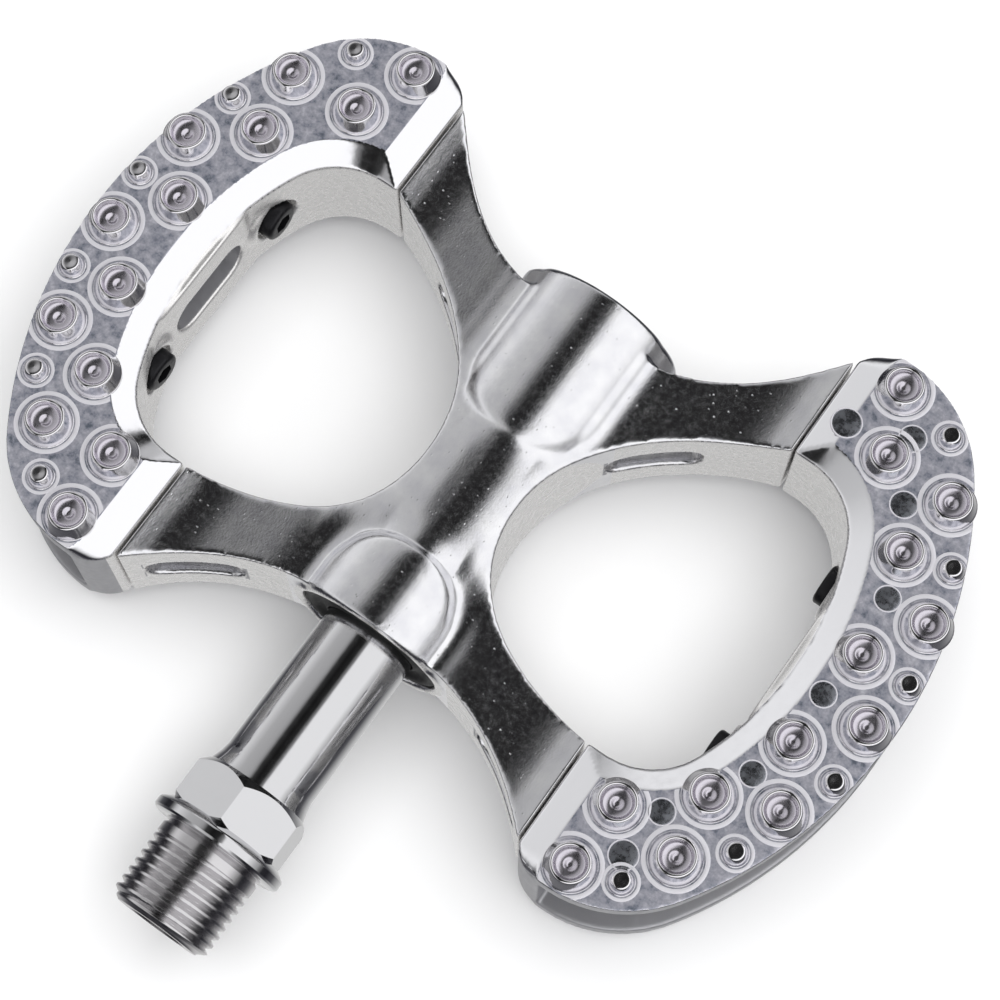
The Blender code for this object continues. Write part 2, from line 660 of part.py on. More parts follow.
def nut_mesh():
    bar = hexagon(NUT_FLATS, NUT_Y, NUT_Y + NUT_HEIGHT, NUT_CHAMFER)
    hole = STUB_RADIUS + FIT
    start, end = NUT_Y - MARGIN, NUT_Y + NUT_HEIGHT + MARGIN
    return combine(bar, "DIFFERENCE", turned([(start, 0), (start, hole), (end, hole), (end, 0)]))


def bolt_mesh():
    """A cap screw along +X with a hexagonal key socket, its seat at SEAT_X."""
    face = SEAT_X - BOLT_HEAD_HEIGHT
    seat = SEAT_X - GAP
    profile = [(face, 0), (face, BOLT_HEAD_RADIUS - BOLT_EDGE), (face + BOLT_EDGE, BOLT_HEAD_RADIUS),
               (seat, BOLT_HEAD_RADIUS), (seat, BOLT_RADIUS), (BOLT_END, BOLT_RADIUS), (BOLT_END, 0)]
    screw = turned(profile, SMALL + 4, ALONG_X)
    floor = face + BOLT_KEY_DEPTH
    socket = [(face - MARGIN, 0), (face - MARGIN, BOLT_KEY_RADIUS), (floor, BOLT_KEY_RADIUS),
              (floor + BOLT_KEY_RADIUS / 3, 0)]
    return combine(screw, "DIFFERENCE", turned(socket, 6, ALONG_X))


def add_bearing(name, start, width, bore, finishes):
    """A sealed ball bearing: two races, two shields, a retainer and its balls."""
    pitch = (BEARING_RADIUS + bore) / 2
    ball = BALL_SHARE * width
    groove = ball + GAP
    middle = start + width / 2
    inner_top = pitch - RACE_GAP * ball
    outer_low = pitch + RACE_GAP * ball

    def groove_points(radius, sign):
        """The ball track's section, where it breaks through the surface at this radius."""
        reach = math.acos((pitch - radius) * sign / groove)
        turns = [reach * (k / 2 - 1) for k in range(5)]
        return [(middle + groove * math.sin(turn), pitch - sign * groove * math.cos(turn)) for turn in turns]

    inner = [(start, bore), (start, inner_top)] + groove_points(inner_top, 1)
    inner += [(start + width, inner_top), (start + width, bore)]
    outer = [(start, BEARING_RADIUS), (start, outer_low)] + groove_points(outer_low, -1)
    outer += [(start + width, outer_low), (start + width, BEARING_RADIUS)]
    steel, dark, brass = finishes
    node(name + "_inner_race", turned(inner, RACE_SIDES, ring=True), steel)
    node(name + "_outer_race", turned(outer, RACE_SIDES, ring=True), steel)
    far = start + width - SHIELD_INSET - SHIELD_THICK
    for side, at in (("crank_side", start + SHIELD_INSET), ("outer_side", far)):
        shield = band(at, at + SHIELD_THICK, inner_top + GAP, outer_low - GAP)
        node(name + "_shield_" + side, turned(shield, RACE_SIDES, ring=True), dark)
    rail = groove + GAP
    low, high = pitch - RETAINER_HALF, pitch + RETAINER_HALF
    cage = turned(band(middle - rail, middle + rail, low, high), RACE_SIDES, ring=True)

    def pockets(bm):
        for k in range(BALLS):
            place = Matrix.Rotation(math.tau * k / BALLS, 4, "Y") @ Matrix.Translation((0, middle, 0)) @ ALONG_X
            ends = (pitch - MARGIN, pitch + MARGIN)
            lathe(bm, [(ends[0], 0), (ends[0], groove), (ends[1], groove), (ends[1], 0)], STUD_SIDES, place)

    node(name + "_ball_retainer", combine(cage, "DIFFERENCE", mesh_from(pockets)), brass)
    for k in range(BALLS):
        spot = Matrix.Rotation(math.tau * k / BALLS, 4, "Y") @ Vector((pitch, middle, 0))

        def sphere(bm, spot=spot):
            bmesh.ops.create_icosphere(bm, subdivisions=2, radius=ball, matrix=Matrix.Translation(spot))

        node(f"{name}_ball_{k + 1}", mesh_from(sphere), steel)


def build():
    for old in list(bpy.data.objects):
        bpy.data.objects.remove(old)

    forged = material("forged_alloy", (0.72, 0.72, 0.74), 0.22, 1.0)
    cast = material("cast_alloy", (0.60, 0.61, 0.64), 0.42, 1.0)
    chrome = material("chromed_steel", (0.66, 0.66, 0.68), 0.12, 1.0)
    steel = material("bearing_steel", (0.60, 0.60, 0.62), 0.20, 1.0)
    black = material("blackened_steel", (0.02, 0.02, 0.022), 0.40, 0.8)
    rubber = material("black_rubber", (0.02, 0.02, 0.02), 0.65, 0.0)
    brass = material("pressed_brass", (0.62, 0.47, 0.22), 0.35, 1.0)
    zinc = material("zinc_plate", (0.55, 0.56, 0.58), 0.35, 1.0)

    half_turn = Matrix.Rotation(math.pi, 4, "Y")
    cage = cage_mesh()
    bolt = bolt_mesh()
    node("centre_body", body_mesh(), forged)
    for name, turn in (("front", Matrix()), ("rear", half_turn)):
        node(name + "_cage", cage, cast, turn)
        for side, y in (("crank_side", -BOLT_Y), ("outer_side", BOLT_Y)):
            node(f"{name}_cage_bolt_{side}", bolt, black, turn @ Matrix.Translation((0, y, 0)))

    node("axle", axle_mesh(), chrome)
    washer = band(WASHER_Y, WASHER_Y + WASHER_THICK, STUB_RADIUS + FIT, WASHER_RADIUS)
    node("lock_washer", turned(washer, RACE_SIDES, ring=True), zinc)
    node("lock_nut", nut_mesh(), zinc)
    seal = band(INBOARD_SEAL, INBOARD_SEAL + SEAL_WIDTH, SHANK_RADIUS + GAP, SEAL_RADIUS)
    node("axle_seal", turned(seal, ring=True), rubber)
    cap_start = BARREL_OUTBOARD - CAP_THICK
    cap_radius = BEARING_RADIUS - FIT
    cap = [(cap_start, 0), (cap_start, cap_radius), (BARREL_OUTBOARD - GAP, cap_radius),
           (BARREL_OUTBOARD, cap_radius - GAP), (BARREL_OUTBOARD, 0)]
    node("end_cap", turned(cap), forged)
    finishes = (steel, rubber, brass)
    add_bearing("inboard_bearing", INBOARD_Y, INBOARD_WIDTH, INBOARD_BORE, finishes)
    add_bearing("outboard_bearing", OUTBOARD_Y, OUTBOARD_WIDTH, OUTBOARD_BORE, finishes)


build()
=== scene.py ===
"""Looks of the double-sided platform pedal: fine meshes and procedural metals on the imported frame."""

import math

import bmesh
import bpy
import numpy as np
from mathutils import Matrix, Vector


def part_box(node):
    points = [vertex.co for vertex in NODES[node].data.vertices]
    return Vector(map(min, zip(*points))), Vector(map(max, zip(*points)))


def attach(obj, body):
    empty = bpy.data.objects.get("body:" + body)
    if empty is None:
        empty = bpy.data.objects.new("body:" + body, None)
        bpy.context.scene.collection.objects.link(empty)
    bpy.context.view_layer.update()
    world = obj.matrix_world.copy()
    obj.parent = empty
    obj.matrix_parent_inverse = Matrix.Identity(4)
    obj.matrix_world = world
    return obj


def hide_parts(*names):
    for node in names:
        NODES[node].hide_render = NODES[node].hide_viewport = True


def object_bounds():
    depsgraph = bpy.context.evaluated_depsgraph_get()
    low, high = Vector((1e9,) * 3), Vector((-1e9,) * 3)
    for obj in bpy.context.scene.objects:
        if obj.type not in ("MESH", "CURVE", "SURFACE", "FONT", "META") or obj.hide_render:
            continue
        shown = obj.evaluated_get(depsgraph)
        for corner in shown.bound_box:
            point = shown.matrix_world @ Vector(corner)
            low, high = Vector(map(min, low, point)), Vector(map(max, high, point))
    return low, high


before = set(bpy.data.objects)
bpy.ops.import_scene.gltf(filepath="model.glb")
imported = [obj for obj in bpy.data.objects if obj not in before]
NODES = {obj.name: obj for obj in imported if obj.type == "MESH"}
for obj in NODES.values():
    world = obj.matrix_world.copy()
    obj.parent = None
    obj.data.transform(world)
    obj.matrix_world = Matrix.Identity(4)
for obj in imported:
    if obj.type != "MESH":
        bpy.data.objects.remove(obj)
CAD_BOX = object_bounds()

MM = 0.001


def middle_of(name, axis):
    low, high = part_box(name)
    return (low[axis] + high[axis]) / 2


# The axle's axis is X = 0, Z = 0. Pieces are built with Y = 0 at the cages' middle, then moved by OFFSET.
OFFSET = Vector((0, middle_of("front_cage", 1), 0))
CAGE_LOW, CAGE_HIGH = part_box("front_cage")
REACH = CAGE_HIGH[0]
HALF_WIDTH = (CAGE_HIGH[1] - CAGE_LOW[1]) / 2
JOINT_X = CAGE_LOW[0]
BARREL_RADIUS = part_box("centre_body")[1][2]
BARREL_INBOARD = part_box("axle_seal")[0][1] - 0.5 * MM - OFFSET.y
BARREL_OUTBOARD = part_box("end_cap")[1][1] - OFFSET.y

GAP = 0.3 * MM
PLATE_Z = 10.4 * MM
ARM_Z = 8.2 * MM
END_BAR = 3.8 * MM
BEVEL = 3.1 * MM
WEB = 3.0 * MM
FLANGE = 3.0 * MM
END_WALL = 4.8 * MM
END_CORNER = 5.4 * MM
OPENING_HALF = 23.0 * MM
RAIL_WIDTH = 14.9 * MM
PAD_HALF = 18.0 * MM
TIP_OUTER = HALF_WIDTH - 3.0 * MM
WAIST = (6.9 * MM, -3.8 * MM)
OPENING_REACH = REACH - RAIL_WIDTH
PAD_X = OPENING_REACH - 1.2 * MM
PAD_BACK = PAD_X + 3.4 * MM
SEAT_X = PAD_X + 0.3 * MM
BOLT_Y = 13.1 * MM
TONGUE_THICK = 6.0 * MM

# Studs and pins: (millimetres in from the plate's edge, place along it as a share of half its length)
OUTER_ROW = ((3.7, 0.968), (3.0, 0.605), (2.8, 0.266), (3.4, -0.052), (3.6, -0.373), (5.0, -0.688),
             (3.7, -0.968))
PIN_ROW = ((2.3, 0.782), (1.8, 0.423), (1.9, 0.101), (2.0, -0.212), (2.5, -0.519), (3.5, -0.829))
INNER_ROW = ((4.1, 0.799), (3.8, 0.477), (3.2, 0.124), (2.9, -0.237), (2.0, -0.564), (2.4, -0.866))
# Flat ejector marks: (millimetres out from the plate's inner edge, place along it, radius)
EJECTOR_ROW = ((3.2, 0.97, 1.9), (8.2, 0.80, 1.7), (3.9, 0.64, 1.7), (3.4, 0.33, 1.6), (1.8, -0.05, 1.6),
               (2.6, -0.40, 1.6), (2.6, -0.72, 1.6), (8.2, -0.80, 1.8))


# ---------------------------------------------------------------- mesh tools

def mesh_from(build):
    """A mesh made by build(bm), with its faces pointing out."""
    bm = bmesh.new()
    build(bm)
    bmesh.ops.recalc_face_normals(bm, faces=bm.faces)
    mesh = bpy.data.meshes.new("mesh")
    bm.to_mesh(mesh)
    bm.free()
    return mesh


def stack(bm, rings):
    """A closed solid through rings of (points, z), each with the same number of points."""
    levels = [[bm.verts.new((x, y, z)) for x, y in points] for points, z in rings]
    for low, high in zip(levels, levels[1:]):
        for i in range(len(low)):
            j = (i + 1) % len(low)
            bm.faces.new((low[i], low[j], high[j], high[i]))
    bm.faces.new(levels[0])
    bm.faces.new(levels[-1])


def prism(points, half_height):
    return mesh_from(lambda bm: stack(bm, [(points, -half_height), (points, half_height)]))


def lathe(bm, profile, sides, place=None, ring=False):
    """Turns (distance along the axis, radius) pairs round +Z, then moves them by place."""
    place = place or Matrix()
    rows = []
    for along, radius in profile:
        count = sides if radius > 0 else 1
        row = []
        for k in range(count):
            angle = math.tau * k / sides
            point = Vector((radius * math.cos(angle), radius * math.sin(angle), along))
            row.append(bm.verts.new(place @ point))
        rows.append(row)
    pairs = list(zip(rows, rows[1:]))
    if ring:
        pairs.append((rows[-1], rows[0]))
    for low, high in pairs:
        for k in range(sides):
            n = (k + 1) % sides
            corners = [low[k % len(low)], low[n % len(low)], high[n % len(high)], high[k % len(high)]]
            bm.faces.new(list(dict.fromkeys(corners)))


ALONG_Y = Matrix.Rotation(-math.pi / 2, 4, "X")
ALONG_X = Matrix.Rotation(math.pi / 2, 4, "Y")


def turned(profile, sides=96, place=ALONG_Y, ring=False):
    return mesh_from(lambda bm: lathe(bm, profile, sides, place, ring))


def evaluated(mesh, *modifiers):
    """The mesh with modifiers applied, each given as (type, settings)."""
    thing = bpy.data.objects.new("work", mesh)
    bpy.context.collection.objects.link(thing)
    for kind, settings in modifiers:
        modifier = thing.modifiers.new(kind.lower(), kind)
        for name, value in settings.items():
            setattr(modifier, name, value)
    bpy.context.view_layer.update()
    result = bpy.data.meshes.new_from_object(thing.evaluated_get(bpy.context.evaluated_depsgraph_get()))
    bpy.data.objects.remove(thing)
    return result


def combine(mesh, operation, tool):
    """The mesh united with, or cut by, the tool."""
    cutter = bpy.data.objects.new("cutter", tool)
    bpy.context.collection.objects.link(cutter)
    result = evaluated(mesh, ("BOOLEAN", {"operation": operation, "solver": "EXACT", "object": cutter}))
    bpy.data.objects.remove(cutter)
    return result


def softened(mesh, voxel, smooths):
    """The mesh rebuilt from small even faces, with its edges rounded as in a forging or a casting."""
    remesh = {"mode": "VOXEL", "voxel_size": voxel, "use_smooth_shade": True}
    return evaluated(mesh, ("REMESH", remesh), ("SMOOTH", {"factor": 0.5, "iterations": smooths}))


def arc(centre, radius, start, end, steps):
    points = []
    for k in range(steps + 1):
        angle = start + (end - start) * k / steps
        points.append((centre[0] + radius * math.cos(angle), centre[1] + radius * math.sin(angle)))
    return points


def bezier(a, b, c, d, steps):
    points = []
    for k in range(steps + 1):
        t = k / steps
        u = 1 - t
        weights = (u ** 3, 3 * u * u * t, 3 * u * t * t, t ** 3)
        points.append(tuple(sum(w * p[i] for w, p in zip(weights, (a, b, c, d))) for i in (0, 1)))
    return points


def mirrored(points):
    return [(x, -y) for x, y in reversed(points)]


def smooth_curve(points, steps):
    """A Catmull-Rom curve through the points."""
    curve = []
    padded = [points[0]] + list(points) + [points[-1]]
    for a, b, c, d in zip(padded, padded[1:], padded[2:], padded[3:]):
        for k in range(steps):
            t = k / steps
            curve.append(tuple(
                0.5 * (2 * b[i] + (c[i] - a[i]) * t + (2 * a[i] - 5 * b[i] + 4 * c[i] - d[i]) * t * t
                       + (3 * b[i] - a[i] - 3 * c[i] + d[i]) * t ** 3) for i in (0, 1)))
    return curve + [tuple(points[-1])]


def piece(name, mesh, body, materials, nodes=(), turn=None, sharp=None):
    """The named piece on its body, standing for the CAD nodes."""
    mesh = mesh.copy()
    mesh.name = name
    indices = np.zeros(len(mesh.polygons), dtype=np.int32)
    mesh.polygons.foreach_get("material_index", indices)
    mesh.materials.clear()
    for each in materials:
        mesh.materials.append(each)
    mesh.polygons.foreach_set("material_index", np.minimum(indices, len(materials) - 1))
    mesh.shade_smooth()
    if sharp:
        mesh.set_sharp_from_angle(angle=math.radians(sharp))
    mesh.transform(Matrix.Translation(OFFSET) @ (turn or Matrix()))
    thing = bpy.data.objects.new(name, mesh)
    bpy.context.collection.objects.link(thing)
    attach(thing, body)
    if nodes:
        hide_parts(*nodes)
    return thing


# ---------------------------------------------------------------- materials

def tree_of(name, colour, roughness, metallic=1.0):
    made = bpy.data.materials.new(name)
    made.use_nodes = True
    tree = made.node_tree
    shader = tree.nodes["Principled BSDF"]
    shader.inputs["Base Color"].default_value = (*colour, 1)
    shader.inputs["Roughness"].default_value = roughness
    shader.inputs["Metallic"].default_value = metallic
    return made, tree, shader


def texture_at_scale(tree, kind, scale):
    """A texture node with this many cells to the millimetre, fixed to the piece."""
    coordinates = tree.nodes.new("ShaderNodeTexCoord")
    mapping = tree.nodes.new("ShaderNodeMapping")
    mapping.inputs["Scale"].default_value = (1 / MM, 1 / MM, 1 / MM)
    texture = tree.nodes.new(kind)
    texture.inputs["Scale"].default_value = scale
    tree.links.new(coordinates.outputs["Object"], mapping.inputs["Vector"])
    tree.links.new(mapping.outputs["Vector"], texture.inputs["Vector"])
    return texture


def noise(tree, scale, detail=3.0, roughness=0.55):
    texture = texture_at_scale(tree, "ShaderNodeTexNoise", scale)
    texture.inputs["Detail"].default_value = detail
    texture.inputs["Roughness"].default_value = roughness
    return texture.outputs["Fac"]


def pits(tree, scale, size):
    """1 everywhere but in scattered small round pits."""
    texture = texture_at_scale(tree, "ShaderNodeTexVoronoi", scale)
    return ranged(tree, texture.outputs["Distance"], 0.0, size, 0.0, 1.0)


def ranged(tree, value, low, high, to_low, to_high):
    node = tree.nodes.new("ShaderNodeMapRange")
    node.inputs["From Min"].default_value = low
    node.inputs["From Max"].default_value = high
    node.inputs["To Min"].default_value = to_low
    node.inputs["To Max"].default_value = to_high
    tree.links.new(value, node.inputs["Value"])
    return node.outputs["Result"]


def ramp(tree, value, stops):
    node = tree.nodes.new("ShaderNodeValToRGB")
    elements = node.color_ramp.elements
    while len(elements) < len(stops):
        elements.new(0.5)
    for element, (place, colour) in zip(elements, stops):
        element.position = place
        element.color = (*colour, 1)
    tree.links.new(value, node.inputs["Fac"])
    return node.outputs["Color"]


def bump(tree, shader, heights):
    """Chained bumps, each (height output, strength, millimetres deep)."""
    previous = None
    for height, strength, depth in heights:
        node = tree.nodes.new("ShaderNodeBump")
        node.inputs["Strength"].default_value = strength
        node.inputs["Distance"].default_value = depth * MM
        tree.links.new(height, node.inputs["Height"])
        if previous:
            tree.links.new(previous, node.inputs["Normal"])
        previous = node.outputs["Normal"]
    tree.links.new(previous, shader.inputs["Normal"])


def forged_finish():
    """Polished forging: bright, with faint waves, grain and scattered pits."""
    made, tree, shader = tree_of("forged_polish", (0.80, 0.80, 0.82), 0.2)
    tree.links.new(ramp(tree, noise(tree, 0.35, 4.0), ((0.3, (0.74, 0.74, 0.77)), (0.7, (0.86, 0.86, 0.87)))),
                   shader.inputs["Base Color"])
    tree.links.new(ranged(tree, noise(tree, 1.4, 5.0, 0.7), 0.35, 0.7, 0.10, 0.24),
                   shader.inputs["Roughness"])
    bump(tree, shader, (
        (noise(tree, 0.20, 2.0), 0.2, 0.06),
        (noise(tree, 3.2, 5.0, 0.72), 0.75, 0.018),
        (pits(tree, 0.9, 0.12), 0.7, 0.05)))
    return made


def bright_finish(name, colour=(0.86, 0.86, 0.88), low=0.06, high=0.16, grain=0.006):
    """Mirror-bright polish with faint wiping marks."""
    made, tree, shader = tree_of(name, colour, 0.1)
    tree.links.new(ranged(tree, noise(tree, 0.9, 4.0), 0.3, 0.75, low, high), shader.inputs["Roughness"])
    bump(tree, shader, (
        (noise(tree, 0.25, 2.0), 0.25, 0.05),
        (noise(tree, 3.0, 3.0, 0.6), 0.25, grain)))
    return made


def cast_finish():
    """Studded face of the casting: matte, mottled blue-grey with darker blotches."""
    made, tree, shader = tree_of("cast_plate", (0.5, 0.53, 0.6), 0.5)
    mottle = noise(tree, 0.75, 6.0, 0.68)
    tree.links.new(ramp(tree, mottle, (
        (0.32, (0.14, 0.16, 0.20)), (0.44, (0.34, 0.35, 0.41)),
        (0.56, (0.48, 0.48, 0.54)), (0.72, (0.70, 0.70, 0.76)))), shader.inputs["Base Color"])
    shader.inputs["Metallic"].default_value = 0.7
    tree.links.new(ranged(tree, mottle, 0.3, 0.7, 0.50, 0.36), shader.inputs["Roughness"])
    bump(tree, shader, (
        (noise(tree, 1.1, 5.0, 0.7), 0.5, 0.05),
        (noise(tree, 6.0, 3.0), 0.3, 0.012)))
    return made


def satin_finish(name, colour=(0.74, 0.74, 0.75), roughness=(0.28, 0.42), metallic=1.0):
    """Plain cast or machined wall."""
    made, tree, shader = tree_of(name, colour, 0.35, metallic)
    tree.links.new(ranged(tree, noise(tree, 1.2, 5.0, 0.65), 0.3, 0.7, *roughness),
                   shader.inputs["Roughness"])
    bump(tree, shader, (
        (noise(tree, 0.4, 3.0), 0.35, 0.05),
        (noise(tree, 1.8, 3.0), 0.12, 0.006)))
    return made


def dark_finish(name, colour, roughness, metallic, grain):
    made, tree, shader = tree_of(name, colour, roughness, metallic)
    tree.links.new(ranged(tree, noise(tree, 1.5, 4.0), 0.3, 0.7, roughness - 0.08, roughness + 0.1),
                   shader.inputs["Roughness"])
    bump(tree, shader, ((noise(tree, 6.0, 3.0), 0.4, grain),))
    return made


FORGED = forged_finish()
BRIGHT = bright_finish("polished_bevel")
STUD = bright_finish("stud_polish", (0.86, 0.85, 0.87), 0.09, 0.18, 0.004)
PLATE = cast_finish()
RING = satin_finish("stud_ring", (0.88, 0.87, 0.91), (0.55, 0.68), 0.7)
MARK = satin_finish("ejector_mark", (0.50, 0.52, 0.57), (0.15, 0.4))
SATIN = satin_finish("cast_wall", (0.84, 0.83, 0.82), (0.20, 0.36), 0.75)
# Painted shade: a dark copy of the wall metal for the cages' channel and rim and for the body's pockets.
PAINTED_SHADE_WALL = satin_finish("wall_painted_shade", (0.46, 0.46, 0.48), (0.32, 0.5), 0.8)
CUP = bright_finish("stud_cup", (0.66, 0.63, 0.69), 0.22, 0.32)
CHROME = bright_finish("axle_chrome", (0.64, 0.64, 0.65), 0.05, 0.14, 0.004)
THREAD = bright_finish("thread_steel", (0.62, 0.61, 0.62), 0.14, 0.26, 0.006)
BLACK = dark_finish("black_oxide", (0.012, 0.012, 0.014), 0.34, 0.6, 0.01)
RUBBER = dark_finish("seal_black", (0.015, 0.015, 0.015), 0.55, 0.0, 0.02)
STEEL = bright_finish("bearing_polish", (0.72, 0.72, 0.74), 0.10, 0.2, 0.002)
BRASS = satin_finish("pressed_brass", (0.72, 0.52, 0.24), (0.25, 0.4))
ZINC = satin_finish("zinc_plating", (0.62, 0.63, 0.66), (0.3, 0.45))


# ---------------------------------------------------------------- cages

class Crescent:
    """A line Y = half_width that rounds a corner into a shallow arc, which crosses Y = 0 at reach."""

    def __init__(self, reach, half_width, corner, corner_x):
        span = reach - corner_x
        rise = half_width - corner
        self.radius = (span ** 2 + rise ** 2 - corner ** 2) / (2 * (span - corner))
        self.centre = (reach - self.radius, 0.0)
        self.corner = corner
        self.corner_centre = (corner_x, rise)
        self.meet = math.atan2(rise, corner_x - self.centre[0])

    def half(self, offset=0.0, steps=24):
        """Points from the straight line to Y = 0, moved outwards by offset."""
        corner = arc(self.corner_centre, self.corner + offset, math.pi / 2, self.meet, steps)
        main = arc(self.centre, self.radius + offset, self.meet, 0.0, steps)
        return corner + main[1:]

    def point(self, place, offset):
        """The point at this share of the way from Y = 0 to the straight line, moved outwards by offset."""
        long_arc = (self.radius + offset) * self.meet
        corner_arc = (self.corner + offset) * (math.pi / 2 - self.meet)
        walk = abs(place) * (long_arc + corner_arc)
        if walk <= long_arc:
            centre, radius, turn = self.centre, self.radius + offset, walk / (self.radius + offset)
        else:
            centre, radius = self.corner_centre, self.corner + offset
            turn = self.meet + (walk - long_arc) / radius
        return centre[0] + radius * math.cos(turn), math.copysign(centre[1] + radius * math.sin(turn), place)

    def x_at(self, y, offset=0.0):
        y = abs(y)
        if y > (self.radius + offset) * math.sin(self.meet):
            reach = self.corner + offset
            return self.corner_centre[0] + math.sqrt(reach ** 2 - (y - self.corner_centre[1]) ** 2)
        return self.centre[0] + math.sqrt((self.radius + offset) ** 2 - y ** 2)


OUTER = Crescent(REACH, HALF_WIDTH, 18.0 * MM, JOINT_X + END_CORNER)
OPENING = Crescent(OPENING_REACH, OPENING_HALF, 10.5 * MM, JOINT_X + 2.3 * MM)


def cage_ring(bevel, end_x, inset=0.0):
    """The cage's outline, moved in by inset, its opening moved out by bevel and its ends cut at end_x."""
    centre = (JOINT_X + 4.8 * MM, HALF_WIDTH - END_CORNER)
    turn = math.acos((JOINT_X - centre[0]) / END_CORNER)
    end = []
    for x, y in arc(centre, END_CORNER, turn, math.pi / 2, 12):
        share = (x - JOINT_X) / (centre[0] - JOINT_X)
        end.append((end_x + share * (centre[0] - end_x), y))
    outer = [(x, y - inset) for x, y in end] + OUTER.half(-inset)
    inner = [(end_x, OPENING_HALF + bevel)] + [(max(x, end_x), y) for x, y in OPENING.half(bevel)]
    lower = [(x, -y) for x, y in inner]
    return outer + mirrored(outer)[1:] + lower + inner[::-1][1:]


def cage_mesh():
    """The casting without its studs: two plates, the web with its pad, and the end walls."""
    low = cage_ring(0.0, JOINT_X)
    high = cage_ring(BEVEL, JOINT_X + END_BAR)
    body = mesh_from(lambda bm: stack(bm, [(high, -PLATE_Z), (low, -ARM_Z), (low, ARM_Z), (high, PLATE_Z)]))
    pad = [(PAD_X, -9 * MM), (PAD_BACK, -9 * MM), (PAD_BACK, 9 * MM), (PAD_X, 9 * MM)]
    body = combine(body, "UNION", prism(pad, ARM_Z - GAP))
    body = combine(body, "UNION", mesh_from(add_bosses))

    start = JOINT_X + END_WALL
    beyond = REACH + 1 * MM
    wide = HALF_WIDTH + 1 * MM
    wall = [point for point in OPENING.half(WEB) if point[1] > PAD_HALF]
    inner = [(start, OPENING_HALF + WEB)] + wall
    inner += [(OPENING.x_at(PAD_HALF, WEB), PAD_HALF), (PAD_BACK, PAD_HALF)]
    channel = inner + mirrored(inner) + [(start, -wide), (beyond, -wide), (beyond, wide), (start, wide)]
    body = combine(body, "DIFFERENCE", prism(channel, PLATE_Z - FLANGE))
    return combine(body, "DIFFERENCE", mesh_from(cage_cuts))


def add_bosses(bm):
    """Low round bosses in the web round the bolts' seats."""
    for side in (1, -1):
        profile = [(SEAT_X - 1.1 * MM, 0), (SEAT_X - 1.1 * MM, 4.3 * MM), (SEAT_X - 0.6 * MM, 4.7 * MM),
                   (PAD_BACK, 4.7 * MM), (PAD_BACK, 0)]
        lathe(bm, profile, 48, Matrix.Translation((0, side * BOLT_Y, 0)) @ ALONG_X)


def cage_cuts(bm):
    """Sockets for the tongues, the window, and the bolts' seats and holes."""
    inner = OPENING_HALF + WEB
    outer = inner + 2 * GAP + TONGUE_THICK
    top = 5.3 * MM
    start, end = JOINT_X - 1 * MM, JOINT_X + END_WALL + 1 * MM
    for side in (1, -1):
        corners = [(start, side * inner), (end, side * inner), (end, side * outer), (start, side * outer)]
        stack(bm, [(corners, -top), (corners, top)])
    profile = [(SEAT_X - 4 * MM, 0), (SEAT_X - 4 * MM, 3.4 * MM), (SEAT_X, 3.4 * MM), (SEAT_X, 1.8 * MM),
               (PAD_BACK + 1 * MM, 1.8 * MM), (PAD_BACK + 1 * MM, 0)]
    for side in (1, -1):
        lathe(bm, profile, 48, Matrix.Translation((0, side * BOLT_Y, 0)) @ ALONG_X)
    window = arc((0, 3.8 * MM), 3.2 * MM, 0, math.pi, 16)
    window += [(-x, -y) for x, y in window]
    first = len(bm.verts)
    stack(bm, [(window, PAD_X - 2 * MM), (window, PAD_BACK + 1 * MM)])
    bm.verts.ensure_lookup_table()
    for vert in bm.verts[first:]:
        x, y, z = vert.co
        vert.co = (z, y, x)


def paint_cage(mesh):
    """Material 0 on the studded faces, 1 on bevels and end bars, 2 on walls, 3 on the channel and rim, darker
    there as painted shade.
    """
    count = len(mesh.polygons)
    centres = np.zeros(count * 3)
    normals = np.zeros(count * 3)
    mesh.polygons.foreach_get("center", centres)
    mesh.polygons.foreach_get("normal", normals)
    centres = centres.reshape(-1, 3)
    normals = normals.reshape(-1, 3)
    height = np.abs(centres[:, 2])
    upward = np.sign(centres[:, 2]) * normals[:, 2]
    finish = np.full(count, 2, dtype=np.int32)
    out = np.hypot(centres[:, 0] - OPENING.centre[0], centres[:, 1]) - OPENING.radius
    corner_x, corner_y = OPENING.corner_centre
    corner = np.hypot(centres[:, 0] - corner_x, np.abs(centres[:, 1]) - corner_y)
    steep = np.arctan2(np.abs(centres[:, 1]), centres[:, 0] - OPENING.centre[0]) > OPENING.meet
    out = np.where(steep, corner - OPENING.corner, out)
    # Painted shade: the channel's walls, the rim and the pad's hollow get the dark material 3.
    finish[(out > WEB - 0.3 * MM) & (centres[:, 0] > JOINT_X + 0.5 * MM)] = 3
    finish[(centres[:, 0] > PAD_X + 0.4 * MM) & (height < 3.5 * MM) & (np.abs(centres[:, 1]) < 7.3 * MM)] = 3
    finish[(height > ARM_Z - 0.1 * MM) & (upward > 0.3)] = 1
    finish[(height > PLATE_Z - 0.12 * MM) & (upward > 0.93)] = 0
    mesh.polygons.foreach_set("material_index", finish)


# Turned outlines in millimetres, as (height above the plate, radius)
STUD_PROFILE = smooth_curve([
    (0.02, 3.42), (0.16, 3.30), (0.9, 3.0), (1.7, 2.68), (1.98, 2.55), (2.09, 2.38), (2.05, 2.20),
    (1.85, 2.08),
    (1.42, 1.95), (1.12, 1.66), (0.98, 1.2), (0.94, 0.85), (0.82, 0.64), (0.64, 0.34), (0.62, 0.0)], 3)
PIN_PROFILE = smooth_curve([
    (0.02, 1.78), (0.14, 1.66), (0.8, 1.42), (1.32, 1.18), (1.46, 1.04), (1.50, 0.85), (1.48, 0.4),
    (1.46, 0.0)], 3)


def scaled(profile):
    return [(-0.2 * MM, 0), (-0.2 * MM, profile[0][1] * MM)] + [(z * MM, max(r, 0) * MM) for z, r in profile]


